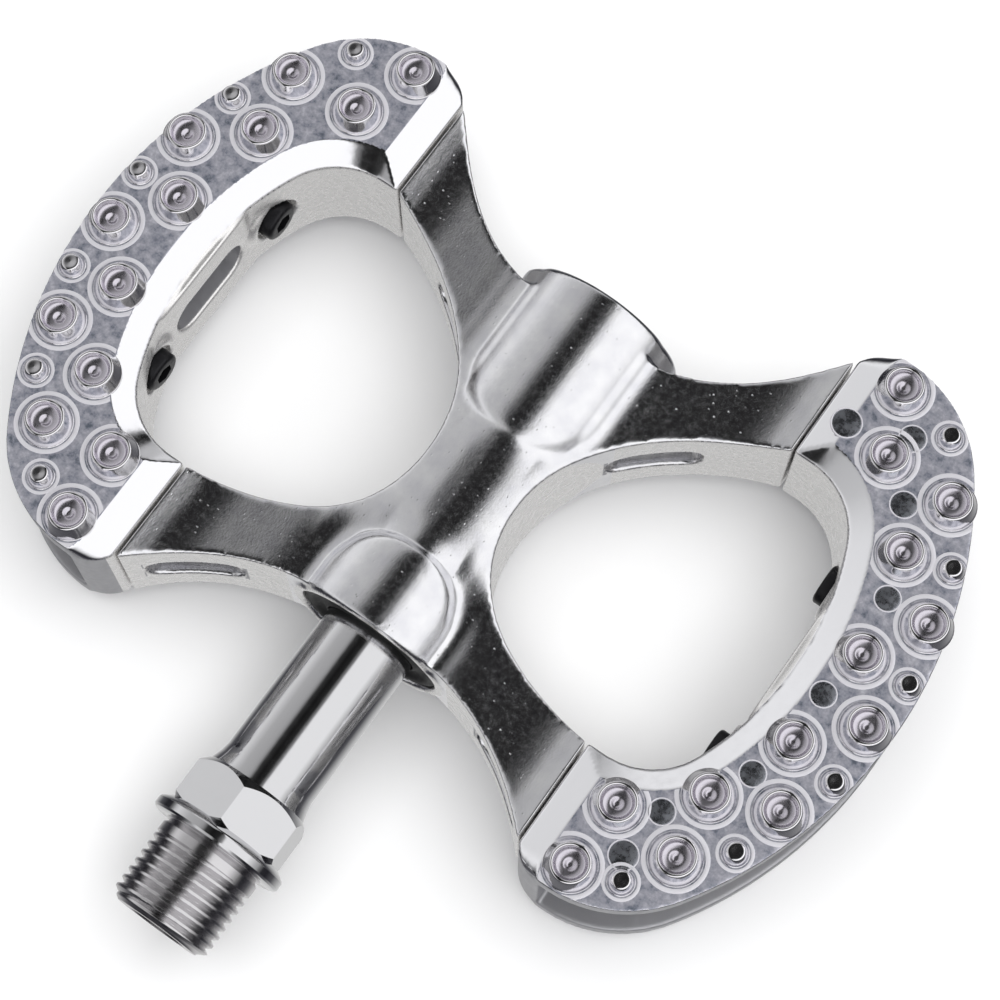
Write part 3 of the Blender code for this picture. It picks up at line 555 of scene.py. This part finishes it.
def flat_ring(inner, outer):
    """A low land with a rounded outer edge."""
    return [(-0.2 * MM, inner * MM), (0.07 * MM, inner * MM), (0.10 * MM, (inner + 0.1) * MM),
            (0.10 * MM, (outer - 0.2) * MM), (0.06 * MM, (outer - 0.05) * MM), (-0.2 * MM, outer * MM)]


def raised(places, profile, sides, ring=False, faces=(1, -1), cup=False):
    """The same turned shape at each place on the cage's faces, with material 1 inside a cup."""
    def build(bm):
        for side in faces:
            flip = Matrix.Rotation(math.pi if side < 0 else 0, 4, "X")
            for x, y in places:
                lathe(bm, profile, sides, Matrix.Translation((x, y, side * PLATE_Z)) @ flip, ring)
        for face in bm.faces:
            middle = face.calc_center_median()
            height = abs(middle.z) - PLATE_Z
            near = min(math.hypot(middle.x - x, middle.y - y) for x, y in places)
            face.material_index = int(cup and height > 0.3 * MM and near < 1.95 * MM)

    return mesh_from(build)


def stud_places():
    outer = [OUTER.point(place, -inset * MM) for inset, place in OUTER_ROW]
    return outer + [OPENING.point(place, BEVEL + inset * MM) for inset, place in INNER_ROW]


def joined(*meshes):
    """One mesh that holds them all."""
    bm = bmesh.new()
    for mesh in meshes:
        bm.from_mesh(mesh)
    whole = bpy.data.meshes.new("joined")
    bm.to_mesh(whole)
    bm.free()
    return whole


def add_cages():
    casting = softened(cage_mesh(), 0.28 * MM, 2)
    paint_cage(casting)
    studs = stud_places()
    pins = [OUTER.point(place, -inset * MM) for inset, place in PIN_ROW]
    tops = joined(raised(studs, scaled(STUD_PROFILE), 40, cup=True), raised(pins, scaled(PIN_PROFILE), 24))
    outline = prism(cage_ring(BEVEL + 0.1 * MM, JOINT_X + END_BAR + 0.1 * MM, 0.15 * MM), PLATE_Z + 1 * MM)
    lands = [raised([place], flat_ring(3.62, 4.25), 48, ring=True) for place in studs]
    lands += [raised([place], flat_ring(1.98, 2.45), 32, ring=True) for place in pins]
    lands = joined(*(combine(land, "INTERSECT", outline) for land in lands))
    half_turn = Matrix.Rotation(math.pi, 4, "Y")
    for name, turn in (("front", Matrix()), ("rear", half_turn)):
        piece(name + "_cage_casting", casting, "platform", (PLATE, BRIGHT, SATIN, PAINTED_SHADE_WALL),
              (name + "_cage",), turn)
        piece(name + "_cage_studs", tops, "platform", (STUD, CUP), turn=turn, sharp=50)
        piece(name + "_cage_stud_lands", lands, "platform", (RING,), turn=turn, sharp=50)
        marks = []
        edges = []
        for out, place, radius in EJECTOR_ROW:
            spot = OPENING.point(place, BEVEL + out * MM)
            size = (radius - 0.04) * MM
            disc = [(-0.2 * MM, 0), (-0.2 * MM, size), (0.02 * MM, size), (0.04 * MM, size - 0.1 * MM),
                    (0.04 * MM, 0)]
            marks.append(raised([spot], disc, 32, faces=(1,)))
            edge = flat_ring(radius, radius + 0.22)
            edges.append(raised([spot], edge, 32, ring=True, faces=(1,)))
        piece(name + "_cage_ejector_marks", joined(*marks), "platform", (MARK,),
              turn=turn, sharp=50)
        piece(name + "_cage_mark_edges", joined(*edges), "platform", (RING,),
              turn=turn, sharp=50)


# ---------------------------------------------------------------- forged body

def from_point(point, dx, dy):
    return point[0] + dx * MM, point[1] + dy * MM


TIP_X = JOINT_X - GAP
BARREL_SIDE = BARREL_RADIUS - 2 * MM
OUTBOARD_ROOT = (BARREL_SIDE, BARREL_OUTBOARD - 3.3 * MM)
INBOARD_ROOT = (BARREL_SIDE, BARREL_INBOARD + 0.5 * MM)
OUTBOARD_TIP = (TIP_X, TIP_OUTER)
OUTBOARD_INNER_TIP = (TIP_X, OPENING_HALF)
INBOARD_INNER_TIP = (TIP_X, -OPENING_HALF)
INBOARD_TIP = (TIP_X, -TIP_OUTER)
# The arms' edges in plan, from the outboard side to the inboard side, as Bezier curves
EDGES = (
    (OUTBOARD_ROOT, from_point(OUTBOARD_ROOT, 10.0, 2.0), from_point(OUTBOARD_TIP, -4.7, -5.3), OUTBOARD_TIP),
    (OUTBOARD_INNER_TIP, from_point(OUTBOARD_INNER_TIP, -11.2, -4.5), from_point(WAIST, 0, 13.3), WAIST),
    (WAIST, from_point(WAIST, 0, -9.7), from_point(INBOARD_INNER_TIP, -17.7, 2.5), INBOARD_INNER_TIP),
    (INBOARD_TIP, from_point(INBOARD_TIP, -4.2, 4.3), from_point(INBOARD_ROOT, 10.0, -1.5), INBOARD_ROOT),
)
# The body's half thickness: by distance from the axle, then as dip below the joint, in millimetres
SPINE = ((0.0, 10.8), (3.0, 10.6), (6.0, 9.9), (8.0, 9.2), (10.0, 8.5), (12.0, 8.0), (14.5, 7.6))
DIP = ((10.5, 0.95), (7.0, 1.05), (4.0, 0.85), (2.0, 0.48), (0.0, 0.0))


def arm_section():
    spine = [(x * MM, z * MM) for x, z in SPINE]
    half = smooth_curve(spine + [(JOINT_X - x * MM, ARM_Z - z * MM) for x, z in DIP], 5)
    half.append((JOINT_X + 1 * MM, ARM_Z))
    top = [(-x, z) for x, z in half[:0:-1]] + half
    return top + [(x, -z) for x, z in top[::-1]]


def barrel_profile():
    core = WAIST[0] - GAP
    length = 8.5 * MM
    last = math.acos(core / BARREL_RADIUS)
    dome = [(length * math.sin(last * k / 20), BARREL_RADIUS * math.cos(last * k / 20)) for k in range(21)]
    inboard = BARREL_INBOARD + 8.5 * MM
    outboard = BARREL_OUTBOARD - 19.4 * MM
    edge = 0.6 * MM
    neck = BARREL_RADIUS - edge
    profile = [(BARREL_INBOARD, 0), (BARREL_INBOARD, neck), (BARREL_INBOARD + edge, BARREL_RADIUS)]
    profile += [(inboard + along, radius) for along, radius in dome]
    profile += [(outboard - along, radius) for along, radius in dome[::-1]]
    return profile + [(BARREL_OUTBOARD - edge, BARREL_RADIUS), (BARREL_OUTBOARD, neck), (BARREL_OUTBOARD, 0)]


def tongue_outline():
    near = WEB + GAP
    far = near + TONGUE_THICK
    root = JOINT_X - 2 * MM
    step = PAD_HALF + GAP
    end = 8.0 * MM
    inner = [(root, OPENING_HALF + near)]
    inner += [point for point in OPENING.half(near) if point[1] > step]
    inner += [(OPENING.x_at(step, near), step), (PAD_BACK + GAP, step), (PAD_BACK + GAP, end)]
    outer = [(root, OPENING_HALF + far)]
    outer += [point for point in OPENING.half(far) if point[1] > end]
    outer += [(OPENING.x_at(end, far), end)]
    return inner + outer[::-1]


def add_tongues(bm):
    outline = tongue_outline()
    for side_x in (1, -1):
        for side_y in (1, -1):
            points = [(side_x * x, side_y * y) for x, y in outline]
            stack(bm, [(points, -5 * MM), (points, 5 * MM)])


def pocket_frames():
    """Middle and direction of each pocket in the side walls of the +X arms."""
    for curve in (EDGES[1], EDGES[3]):
        before, spot, after = (Vector(point) for point in bezier(*curve, 20)[8:11])
        along = after - before
        yield spot, math.atan2(along.y, along.x)


def add_pockets(bm):
    """Blind round-ended pockets in the arms' side walls."""
    outline = arc((4.1 * MM, 0), 2.4 * MM, -math.pi / 2, math.pi / 2, 12)
    outline += arc((-4.1 * MM, 0), 2.4 * MM, math.pi / 2, 3 * math.pi / 2, 12)
    for spot, angle in pocket_frames():
        for side in (1, -1):
            place = Matrix.Diagonal((side, 1, 1, 1)) @ Matrix.Translation((spot.x, spot.y, 0))
            place = place @ Matrix.Rotation(angle, 4, "Z") @ Matrix.Rotation(math.pi / 2, 4, "X")
            first = len(bm.verts)
            stack(bm, [(outline, -2.5 * MM), (outline, 2.5 * MM)])
            bm.verts.ensure_lookup_table()
            for vert in bm.verts[first:]:
                vert.co = place @ vert.co


def add_bolt_holes(bm):
    profile = [(PAD_BACK - 1 * MM, 0), (PAD_BACK - 1 * MM, 1.65 * MM), (PAD_BACK + 12 * MM, 1.65 * MM),
               (PAD_BACK + 12 * MM, 0)]
    for side_x in (1, -1):
        for side_y in (1, -1):
            place = Matrix.Translation((0, side_y * BOLT_Y, 0)) @ Matrix.Diagonal((side_x, 1, 1, 1)) @ ALONG_X
            lathe(bm, profile, 24, place)


def bore_profile():
    """Inside of the barrel: the seal's recess, the bearings' seats and the tunnel between them."""
    seal_low, seal_high = (value[1] - OFFSET.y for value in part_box("axle_seal"))
    inboard_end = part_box("inboard_bearing_outer_race")[1][1] - OFFSET.y + GAP
    outboard_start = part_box("outboard_bearing_outer_race")[0][1] - OFFSET.y - GAP
    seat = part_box("inboard_bearing_outer_race")[1][0] + 0.15 * MM
    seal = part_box("axle_seal")[1][0] + 0.15 * MM
    tunnel = 5.2 * MM
    return [
        (seal_low - 3 * MM, 0), (seal_low - 3 * MM, seal),
        (seal_high + 0.15 * MM, seal), (seal_high + 0.15 * MM, seat),
        (inboard_end, seat), (inboard_end, tunnel), (outboard_start, tunnel), (outboard_start, seat),
        (BARREL_OUTBOARD + 1 * MM, seat), (BARREL_OUTBOARD + 1 * MM, 0)]


def body_mesh():
    right = bezier(*EDGES[0], 30) + bezier(*EDGES[3], 30)
    outline = right + [(-x, y) for x, y in right[::-1]]
    body = prism(outline, BARREL_RADIUS + 1 * MM)
    section = prism(arm_section(), HALF_WIDTH)
    section.transform(Matrix.Rotation(math.pi / 2, 4, "X"))
    body = combine(body, "INTERSECT", section)
    body = combine(body, "UNION", turned(barrel_profile()))
    beyond = JOINT_X + 1 * MM
    opening = [(beyond, OPENING_HALF)] + bezier(*EDGES[1], 40) + bezier(*EDGES[2], 40)[1:]
    opening.append((beyond, -OPENING_HALF))
    for turn in (0, math.pi):
        cutter = prism(opening, BARREL_RADIUS + 2 * MM)
        cutter.transform(Matrix.Rotation(turn, 4, "Y"))
        body = combine(body, "DIFFERENCE", cutter)
    body = combine(body, "UNION", mesh_from(add_tongues))
    for cuts in (turned(bore_profile()), mesh_from(add_pockets), mesh_from(add_bolt_holes)):
        body = combine(body, "DIFFERENCE", cuts)
    return body


def paint_body(mesh):
    """Material 0 on the outside, 1 on the upright walls, the tongues and the bore, 2 inside the pockets,
    darker there as painted shade.
    """
    count = len(mesh.polygons)
    normals = np.zeros(count * 3)
    mesh.polygons.foreach_get("normal", normals)
    upright = np.abs(normals.reshape(-1, 3)[:, 2]) < 0.35
    centres = np.zeros(count * 3)
    mesh.polygons.foreach_get("center", centres)
    centres = centres.reshape(-1, 3)
    barrel = np.hypot(centres[:, 0], centres[:, 2]) > BARREL_RADIUS - 0.6 * MM
    barrel &= np.abs(centres[:, 0]) < BARREL_RADIUS + 0.1 * MM
    barrel &= np.abs(centres[:, 0]) > 9 * MM
    finish = (upright & ~barrel).astype(np.int32)
    # Painted shade: the pockets' insides get the dark material 2.
    for spot, angle in pocket_frames():
        x, y = np.abs(centres[:, 0]) - spot.x, centres[:, 1] - spot.y
        along = x * math.cos(angle) + y * math.sin(angle)
        deep = -x * math.sin(angle) + y * math.cos(angle)
        inside = (np.abs(along) < 6.7 * MM) & (np.abs(centres[:, 2]) < 2.6 * MM)
        finish[inside & (deep > 0.55 * MM) & (deep < 3 * MM)] = 2
    mesh.polygons.foreach_set("material_index", finish)


def rounded_distance(x, y, nose, half_width, corner, facing):
    """Distance outside a long round-nosed shape that starts at nose and runs on, facing along Y."""
    length = 25 * MM
    across = np.abs(x) - (half_width - corner)
    along = np.abs(y - nose - facing * length) - (length - corner)
    outside = np.hypot(np.maximum(across, 0), np.maximum(along, 0))
    return outside + np.minimum(np.maximum(across, along), 0) - corner


# Each dome: nose's Y, half width, corner radius, direction along Y, depth of the valley round it
DOMES = (
    (-14.6 * MM, 9.3 * MM, 8.3 * MM, -1, 1.15 * MM),
    (2.8 * MM, 9.6 * MM, 8.6 * MM, 1, 0.5 * MM),
)


def sink_round_domes(mesh):
    """Lowers the arms in a soft valley round the two domes."""
    count = len(mesh.vertices)
    places = np.zeros(count * 3)
    mesh.vertices.foreach_get("co", places)
    places = places.reshape(-1, 3)
    x, y, z = places.T
    high = np.clip((np.abs(z) - 4 * MM) / (3 * MM), 0, 1)
    inner = np.clip((np.hypot(x, z) - 10.6 * MM) / (0.8 * MM), 0, 1)
    for nose, half_width, corner, facing, depth in DOMES:
        distance = rounded_distance(x, y, nose, half_width, corner, facing)
        width = np.where(distance > 0, 3.0 * MM, 0.8 * MM)
        z = z - np.sign(z) * depth * np.exp(-(distance / width) ** 2) * high * inner
    places[:, 2] = z
    mesh.vertices.foreach_set("co", places.ravel())


def add_body():
    mesh = softened(body_mesh(), 0.26 * MM, 2)
    sink_round_domes(mesh)
    mesh = evaluated(mesh, ("SMOOTH", {"factor": 0.5, "iterations": 5}))
    paint_body(mesh)
    piece("forged_body", mesh, "platform", (FORGED, SATIN, PAINTED_SHADE_WALL), ("centre_body",))


# ---------------------------------------------------------------- axle, seal, cap and bolts

AXLE_LOW, AXLE_HIGH = (value - OFFSET for value in map(Vector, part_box("axle")))
FLANGE_FACE = -59.4 * MM
HEX_START = FLANGE_FACE + 2.4 * MM
HEX_END = HEX_START + 6.2 * MM
SHANK_RADIUS = 6.45 * MM
THREAD_RADIUS = 7.14 * MM
PITCH = 1.27 * MM


def thread_mesh():
    """A real helix, which fades out at both ends."""
    start, end = AXLE_LOW.y, FLANGE_FACE + 0.4 * MM
    rows, sides = 220, 96
    root = THREAD_RADIUS - 0.68 * MM

    def build(bm):
        grid = []
        for i in range(rows + 1):
            along = start + (end - start) * i / rows
            entry = min(1.0, (along - start) / (0.9 * MM))
            plain = min(1.0, max(0.0, (along - FLANGE_FACE + 2.6 * MM) / (0.5 * MM)))
            groove = 0.5 * MM * max(0.0, 1.0 - abs(along - FLANGE_FACE + 0.45 * MM) / (0.4 * MM))
            row = []
            for k in range(sides):
                angle = math.tau * k / sides
                phase = (along / PITCH + k / sides) % 1.0
                ridge = min(1.0, max(0.0, 1.35 - 2.7 * abs(phase - 0.5)))
                radius = root - (1 - entry) * 0.55 * MM + max(ridge * entry, plain) * 0.68 * MM - groove
                row.append(bm.verts.new((radius * math.cos(angle), along, radius * math.sin(angle))))
            grid.append(row)
        for low, high in zip(grid, grid[1:]):
            for k in range(sides):
                n = (k + 1) % sides
                bm.faces.new((low[k], low[n], high[n], high[k]))
        bm.faces.new(grid[-1])
        tip = [bm.verts.new((0.72 * v.co.x, start, 0.72 * v.co.z)) for v in grid[0]]
        dish = [bm.verts.new((0.5 * v.co.x, start + 1.2 * MM, 0.5 * v.co.z)) for v in grid[0]]
        for low, high in ((tip, grid[0]), (dish, tip)):
            for k in range(sides):
                n = (k + 1) % sides
                bm.faces.new((low[k], low[n], high[n], high[k]))
        bm.faces.new(dish[::-1])

    return mesh_from(build)


def hexagon(flats, start, end):
    corner = flats / math.sqrt(3)
    turns = [math.radians(60 * k + 90) for k in range(6)]
    points = [(corner * math.cos(angle), corner * math.sin(angle)) for angle in turns]
    bar = mesh_from(lambda bm: stack(bm, [(points, start), (points, end)]))
    bar.transform(ALONG_Y)
    return bar


def hex_mesh():
    """The spanner hexagon, with its corners turned off at both ends."""
    flats = 15.0 * MM
    corner = flats / math.sqrt(3)
    half = flats / 2
    profile = [(HEX_START - 0.5 * MM, 0), (HEX_START - 0.5 * MM, half - 0.2 * MM),
               (HEX_START + 0.5 * MM, corner),
               (HEX_END - 1.0 * MM, corner), (HEX_END + 0.4 * MM, half - 0.4 * MM), (HEX_END + 0.4 * MM, 0)]
    bar = combine(hexagon(flats, HEX_START - 0.5 * MM, HEX_END + 0.4 * MM), "INTERSECT", turned(profile, 144))
    bevel = {"width": 0.18 * MM, "segments": 2, "limit_method": "ANGLE", "angle_limit": math.radians(25)}
    return evaluated(bar, ("BEVEL", bevel))


def shank_mesh():
    """Flange, cone and shank as one turning, down to the outboard end."""
    journal, outboard = 4.85 * MM, 3.85 * MM
    seal_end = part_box("axle_seal")[1][1] - OFFSET.y
    inboard_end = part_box("inboard_bearing_inner_race")[1][1] - OFFSET.y + GAP
    outboard_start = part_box("outboard_bearing_inner_race")[0][1] - OFFSET.y - GAP
    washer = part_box("lock_washer")[0][1] - OFFSET.y - GAP
    flange = 9.4 * MM
    profile = [
        (FLANGE_FACE, 0), (FLANGE_FACE, flange - 0.6 * MM), (FLANGE_FACE + 0.12 * MM, flange - 0.25 * MM),
        (FLANGE_FACE + 0.4 * MM, flange), (FLANGE_FACE + 1.35 * MM, flange),
        (FLANGE_FACE + 1.6 * MM, flange - 0.15 * MM),
        (FLANGE_FACE + 2.3 * MM, flange - 1.2 * MM), (HEX_START + 0.1 * MM, 7.2 * MM), (HEX_END, 7.2 * MM),
        (HEX_END + 0.7 * MM, 7.0 * MM), (HEX_END + 1.8 * MM, 6.65 * MM), (HEX_END + 3.0 * MM, SHANK_RADIUS),
        (seal_end - 0.35 * MM, SHANK_RADIUS), (seal_end - 0.1 * MM, SHANK_RADIUS - 0.25 * MM),
        (seal_end - 0.1 * MM, journal), (inboard_end, journal), (inboard_end + 0.45 * MM, 4.4 * MM),
        (outboard_start, 4.4 * MM), (outboard_start, outboard), (washer, outboard), (washer, 3.4 * MM),
        (AXLE_HIGH.y - 0.3 * MM, 3.4 * MM), (AXLE_HIGH.y, 3.1 * MM), (AXLE_HIGH.y, 0)]
    return turned(profile, 128)


def add_axle():
    shank = shank_mesh()
    bars = joined(shank, hex_mesh())
    piece("axle_turning", bars, "axle_assembly", (CHROME,), ("axle",), sharp=28)
    piece("axle_thread", thread_mesh(), "axle_assembly", (THREAD,), sharp=40)


def add_seal_and_cap():
    low, high = (value[1] - OFFSET.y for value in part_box("axle_seal"))
    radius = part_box("axle_seal")[1][0]
    bore = SHANK_RADIUS + 0.22 * MM
    seal = [(low + 0.9 * MM, radius), (low + 0.15 * MM, radius), (low, radius - 0.2 * MM),
            (low, radius - 0.9 * MM), (low + 0.35 * MM, radius - 1.2 * MM),
            (low + 0.75 * MM, radius - 1.7 * MM), (low + 0.75 * MM, bore + 1.0 * MM),
            (low + 0.3 * MM, bore + 0.5 * MM), (low + 0.05 * MM, bore + 0.1 * MM), (low + 0.15 * MM, bore),
            (low + 0.6 * MM, bore + 0.05 * MM), (high, bore), (high, radius)]
    piece("lip_seal", turned(seal, 96, ring=True), "platform", (RUBBER,), ("axle_seal",),
          sharp=50)

    cap_low, cap_high = (value[1] - OFFSET.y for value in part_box("end_cap"))
    cap_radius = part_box("end_cap")[1][0]
    cap = [(cap_low, 0), (cap_low, cap_radius), (cap_high - 0.3 * MM, cap_radius),
           (cap_high - 0.05 * MM, cap_radius - 0.12 * MM),
           (cap_high, cap_radius - 0.4 * MM), (cap_high, 6.6 * MM), (cap_high - 0.25 * MM, 6.2 * MM),
           (cap_high - 0.35 * MM, 5.8 * MM), (cap_high - 0.35 * MM, 3.4 * MM),
           (cap_high - 0.3 * MM, 3.1 * MM), (cap_high, 2.7 * MM), (cap_high, 0)]
    piece("barrel_end_cap", turned(cap), "platform", (FORGED,), ("end_cap",), sharp=40)


def bolt_mesh():
    """A socket cap screw along +X: rounded head, hexagonal key hole and a threaded shank."""
    face = SEAT_X - 2.6 * MM
    seat = SEAT_X - 0.2 * MM
    end = OPENING_REACH + WEB + TONGUE_THICK
    profile = [(face, 0), (face, 2.2 * MM), (face + 0.05 * MM, 2.42 * MM), (face + 0.18 * MM, 2.65 * MM),
               (face + 0.42 * MM, 2.8 * MM), (seat - 0.15 * MM, 2.8 * MM), (seat, 2.65 * MM),
               (seat, 1.5 * MM)]
    along = seat + 0.6 * MM
    while along < end - 0.8 * MM:
        profile += [(along, 1.5 * MM), (along + 0.2 * MM, 1.28 * MM), (along + 0.3 * MM, 1.28 * MM)]
        along += 0.5 * MM
    profile += [(end - 0.3 * MM, 1.5 * MM), (end, 1.2 * MM), (end, 0)]
    screw = turned(profile, 48, ALONG_X)
    key = [(face - 1 * MM, 0), (face - 1 * MM, 1.5 * MM), (face + 1.4 * MM, 1.5 * MM), (face + 1.9 * MM, 0)]
    return combine(screw, "DIFFERENCE", turned(key, 6, ALONG_X))


def add_bolts():
    bolt = bolt_mesh()
    half_turn = Matrix.Rotation(math.pi, 4, "Y")
    for name, turn in (("front", Matrix()), ("rear", half_turn)):
        for side, y in (("crank_side", -BOLT_Y), ("outer_side", BOLT_Y)):
            node = f"{name}_cage_bolt_{side}"
            place = turn @ Matrix.Translation((0, y, 0))
            piece(node + "_screw", bolt, "platform", (BLACK,), (node,), place, 35)


def finish_inner_nodes():
    """Materials of the CAD pieces that stay: bearings, washer and nut."""
    for name, thing in NODES.items():
        if "shield" in name:
            finish = RUBBER
        elif "retainer" in name:
            finish = BRASS
        elif "bearing" in name:
            finish = STEEL
        elif name in ("lock_washer", "lock_nut"):
            finish = ZINC
        else:
            continue
        for entry in thing.material_slots:
            entry.material = finish


# ---------------------------------------------------------------- studio

def add_floor():
    floor = mesh_from(lambda bm: bmesh.ops.create_grid(bm, x_segments=8, y_segments=8, size=3.0))
    made, tree, shader = tree_of("studio_floor", (0.93, 0.93, 0.93), 0.9, 0.0)
    tree.links.new(ranged(tree, noise(tree, 0.02, 2.0), 0.3, 0.7, 0.85, 0.95), shader.inputs["Roughness"])
    shader.inputs["Specular IOR Level"].default_value = 0.1
    floor.materials.append(made)
    thing = bpy.data.objects.new("studio_floor", floor)
    thing.location.z = CAD_BOX[0][2]
    bpy.context.collection.objects.link(thing)
    thing.visible_glossy = False


def add_world():
    """A soft studio: pale towards -X, a dark gap overhead and a wide bright softbox towards +X."""
    world = bpy.data.worlds.new("studio")
    bpy.context.scene.world = world
    world.use_nodes = True
    tree = world.node_tree
    background = tree.nodes["Background"]
    coordinates = tree.nodes.new("ShaderNodeTexCoord")
    split = tree.nodes.new("ShaderNodeSeparateXYZ")
    tree.links.new(coordinates.outputs["Generated"], split.inputs["Vector"])
    angle = tree.nodes.new("ShaderNodeMath")
    angle.operation = "ARCTAN2"
    tree.links.new(split.outputs["X"], angle.inputs[0])
    tree.links.new(split.outputs["Z"], angle.inputs[1])
    across = ranged(tree, angle.outputs["Value"], -math.pi / 2, math.pi / 2, 0.0, 1.0)
    levels = ((-90, 0.40), (-75, 0.80), (-52, 0.50), (-30, 0.44), (-24, 0.36), (-17, 0.04), (-6, 0.01),
              (6, 0.02), (13, 0.25), (17, 1.0), (62, 1.0), (78, 0.50), (90, 0.30))
    stops = [((degrees + 90) / 180, (level, level, level * 1.01)) for degrees, level in levels]
    above = ramp(tree, across, stops)
    mix = tree.nodes.new("ShaderNodeMixRGB")
    below = ramp(tree, ranged(tree, split.outputs["Z"], -1.0, 0.0, 0.0, 1.0), (
        (0.0, (0.62, 0.62, 0.62)), (0.12, (0.50, 0.50, 0.50)), (0.4, (0.10, 0.10, 0.11)),
        (0.7, (0.02, 0.02, 0.025)), (1.0, (0.03, 0.03, 0.035))))
    tree.links.new(below, mix.inputs["Color1"])
    tree.links.new(ranged(tree, split.outputs["Z"], -0.10, 0.12, 0.0, 1.0), mix.inputs["Fac"])
    tree.links.new(above, mix.inputs["Color2"])
    tree.links.new(mix.outputs["Color"], background.inputs["Color"])
    background.inputs["Strength"].default_value = 1.15


def add_floor_light():
    """A broad overhead panel for the floor; the metals mirror the studio round it instead."""
    light = bpy.data.lights.new("overhead_panel", "AREA")
    light.shape = "SQUARE"
    light.size = 1.2
    light.energy = 9.0
    thing = bpy.data.objects.new("overhead_panel", light)
    thing.location = (0.1, 0.1, 0.9)
    thing.visible_glossy = False
    bpy.context.collection.objects.link(thing)


def add_camera():
    camera = bpy.data.cameras.new("main_view")
    camera.lens = 93.609
    camera.sensor_width = 36.0
    camera.clip_start = 0.01
    thing = bpy.data.objects.new("main_view", camera)
    bpy.context.collection.objects.link(thing)
    azimuth, elevation = math.radians(35.2247), math.radians(73.0838)
    flat = math.cos(elevation)
    back = Vector((math.sin(azimuth) * flat, -math.cos(azimuth) * flat, math.sin(elevation)))
    right = Vector((math.cos(azimuth), math.sin(azimuth), 0))
    target = Vector((5.089 * MM, -4.885 * MM, 12.5 * MM)) + OFFSET
    turn = Matrix((right, back.cross(right), back)).transposed().to_4x4()
    thing.matrix_world = Matrix.Translation(target + 323.8 * MM * back) @ turn
    bpy.context.scene.camera = thing


add_cages()
add_body()
add_axle()
add_seal_and_cap()
add_bolts()
finish_inner_nodes()
add_floor()
add_world()
add_floor_light()
add_camera()
bpy.context.scene.view_settings.view_transform = "Standard"
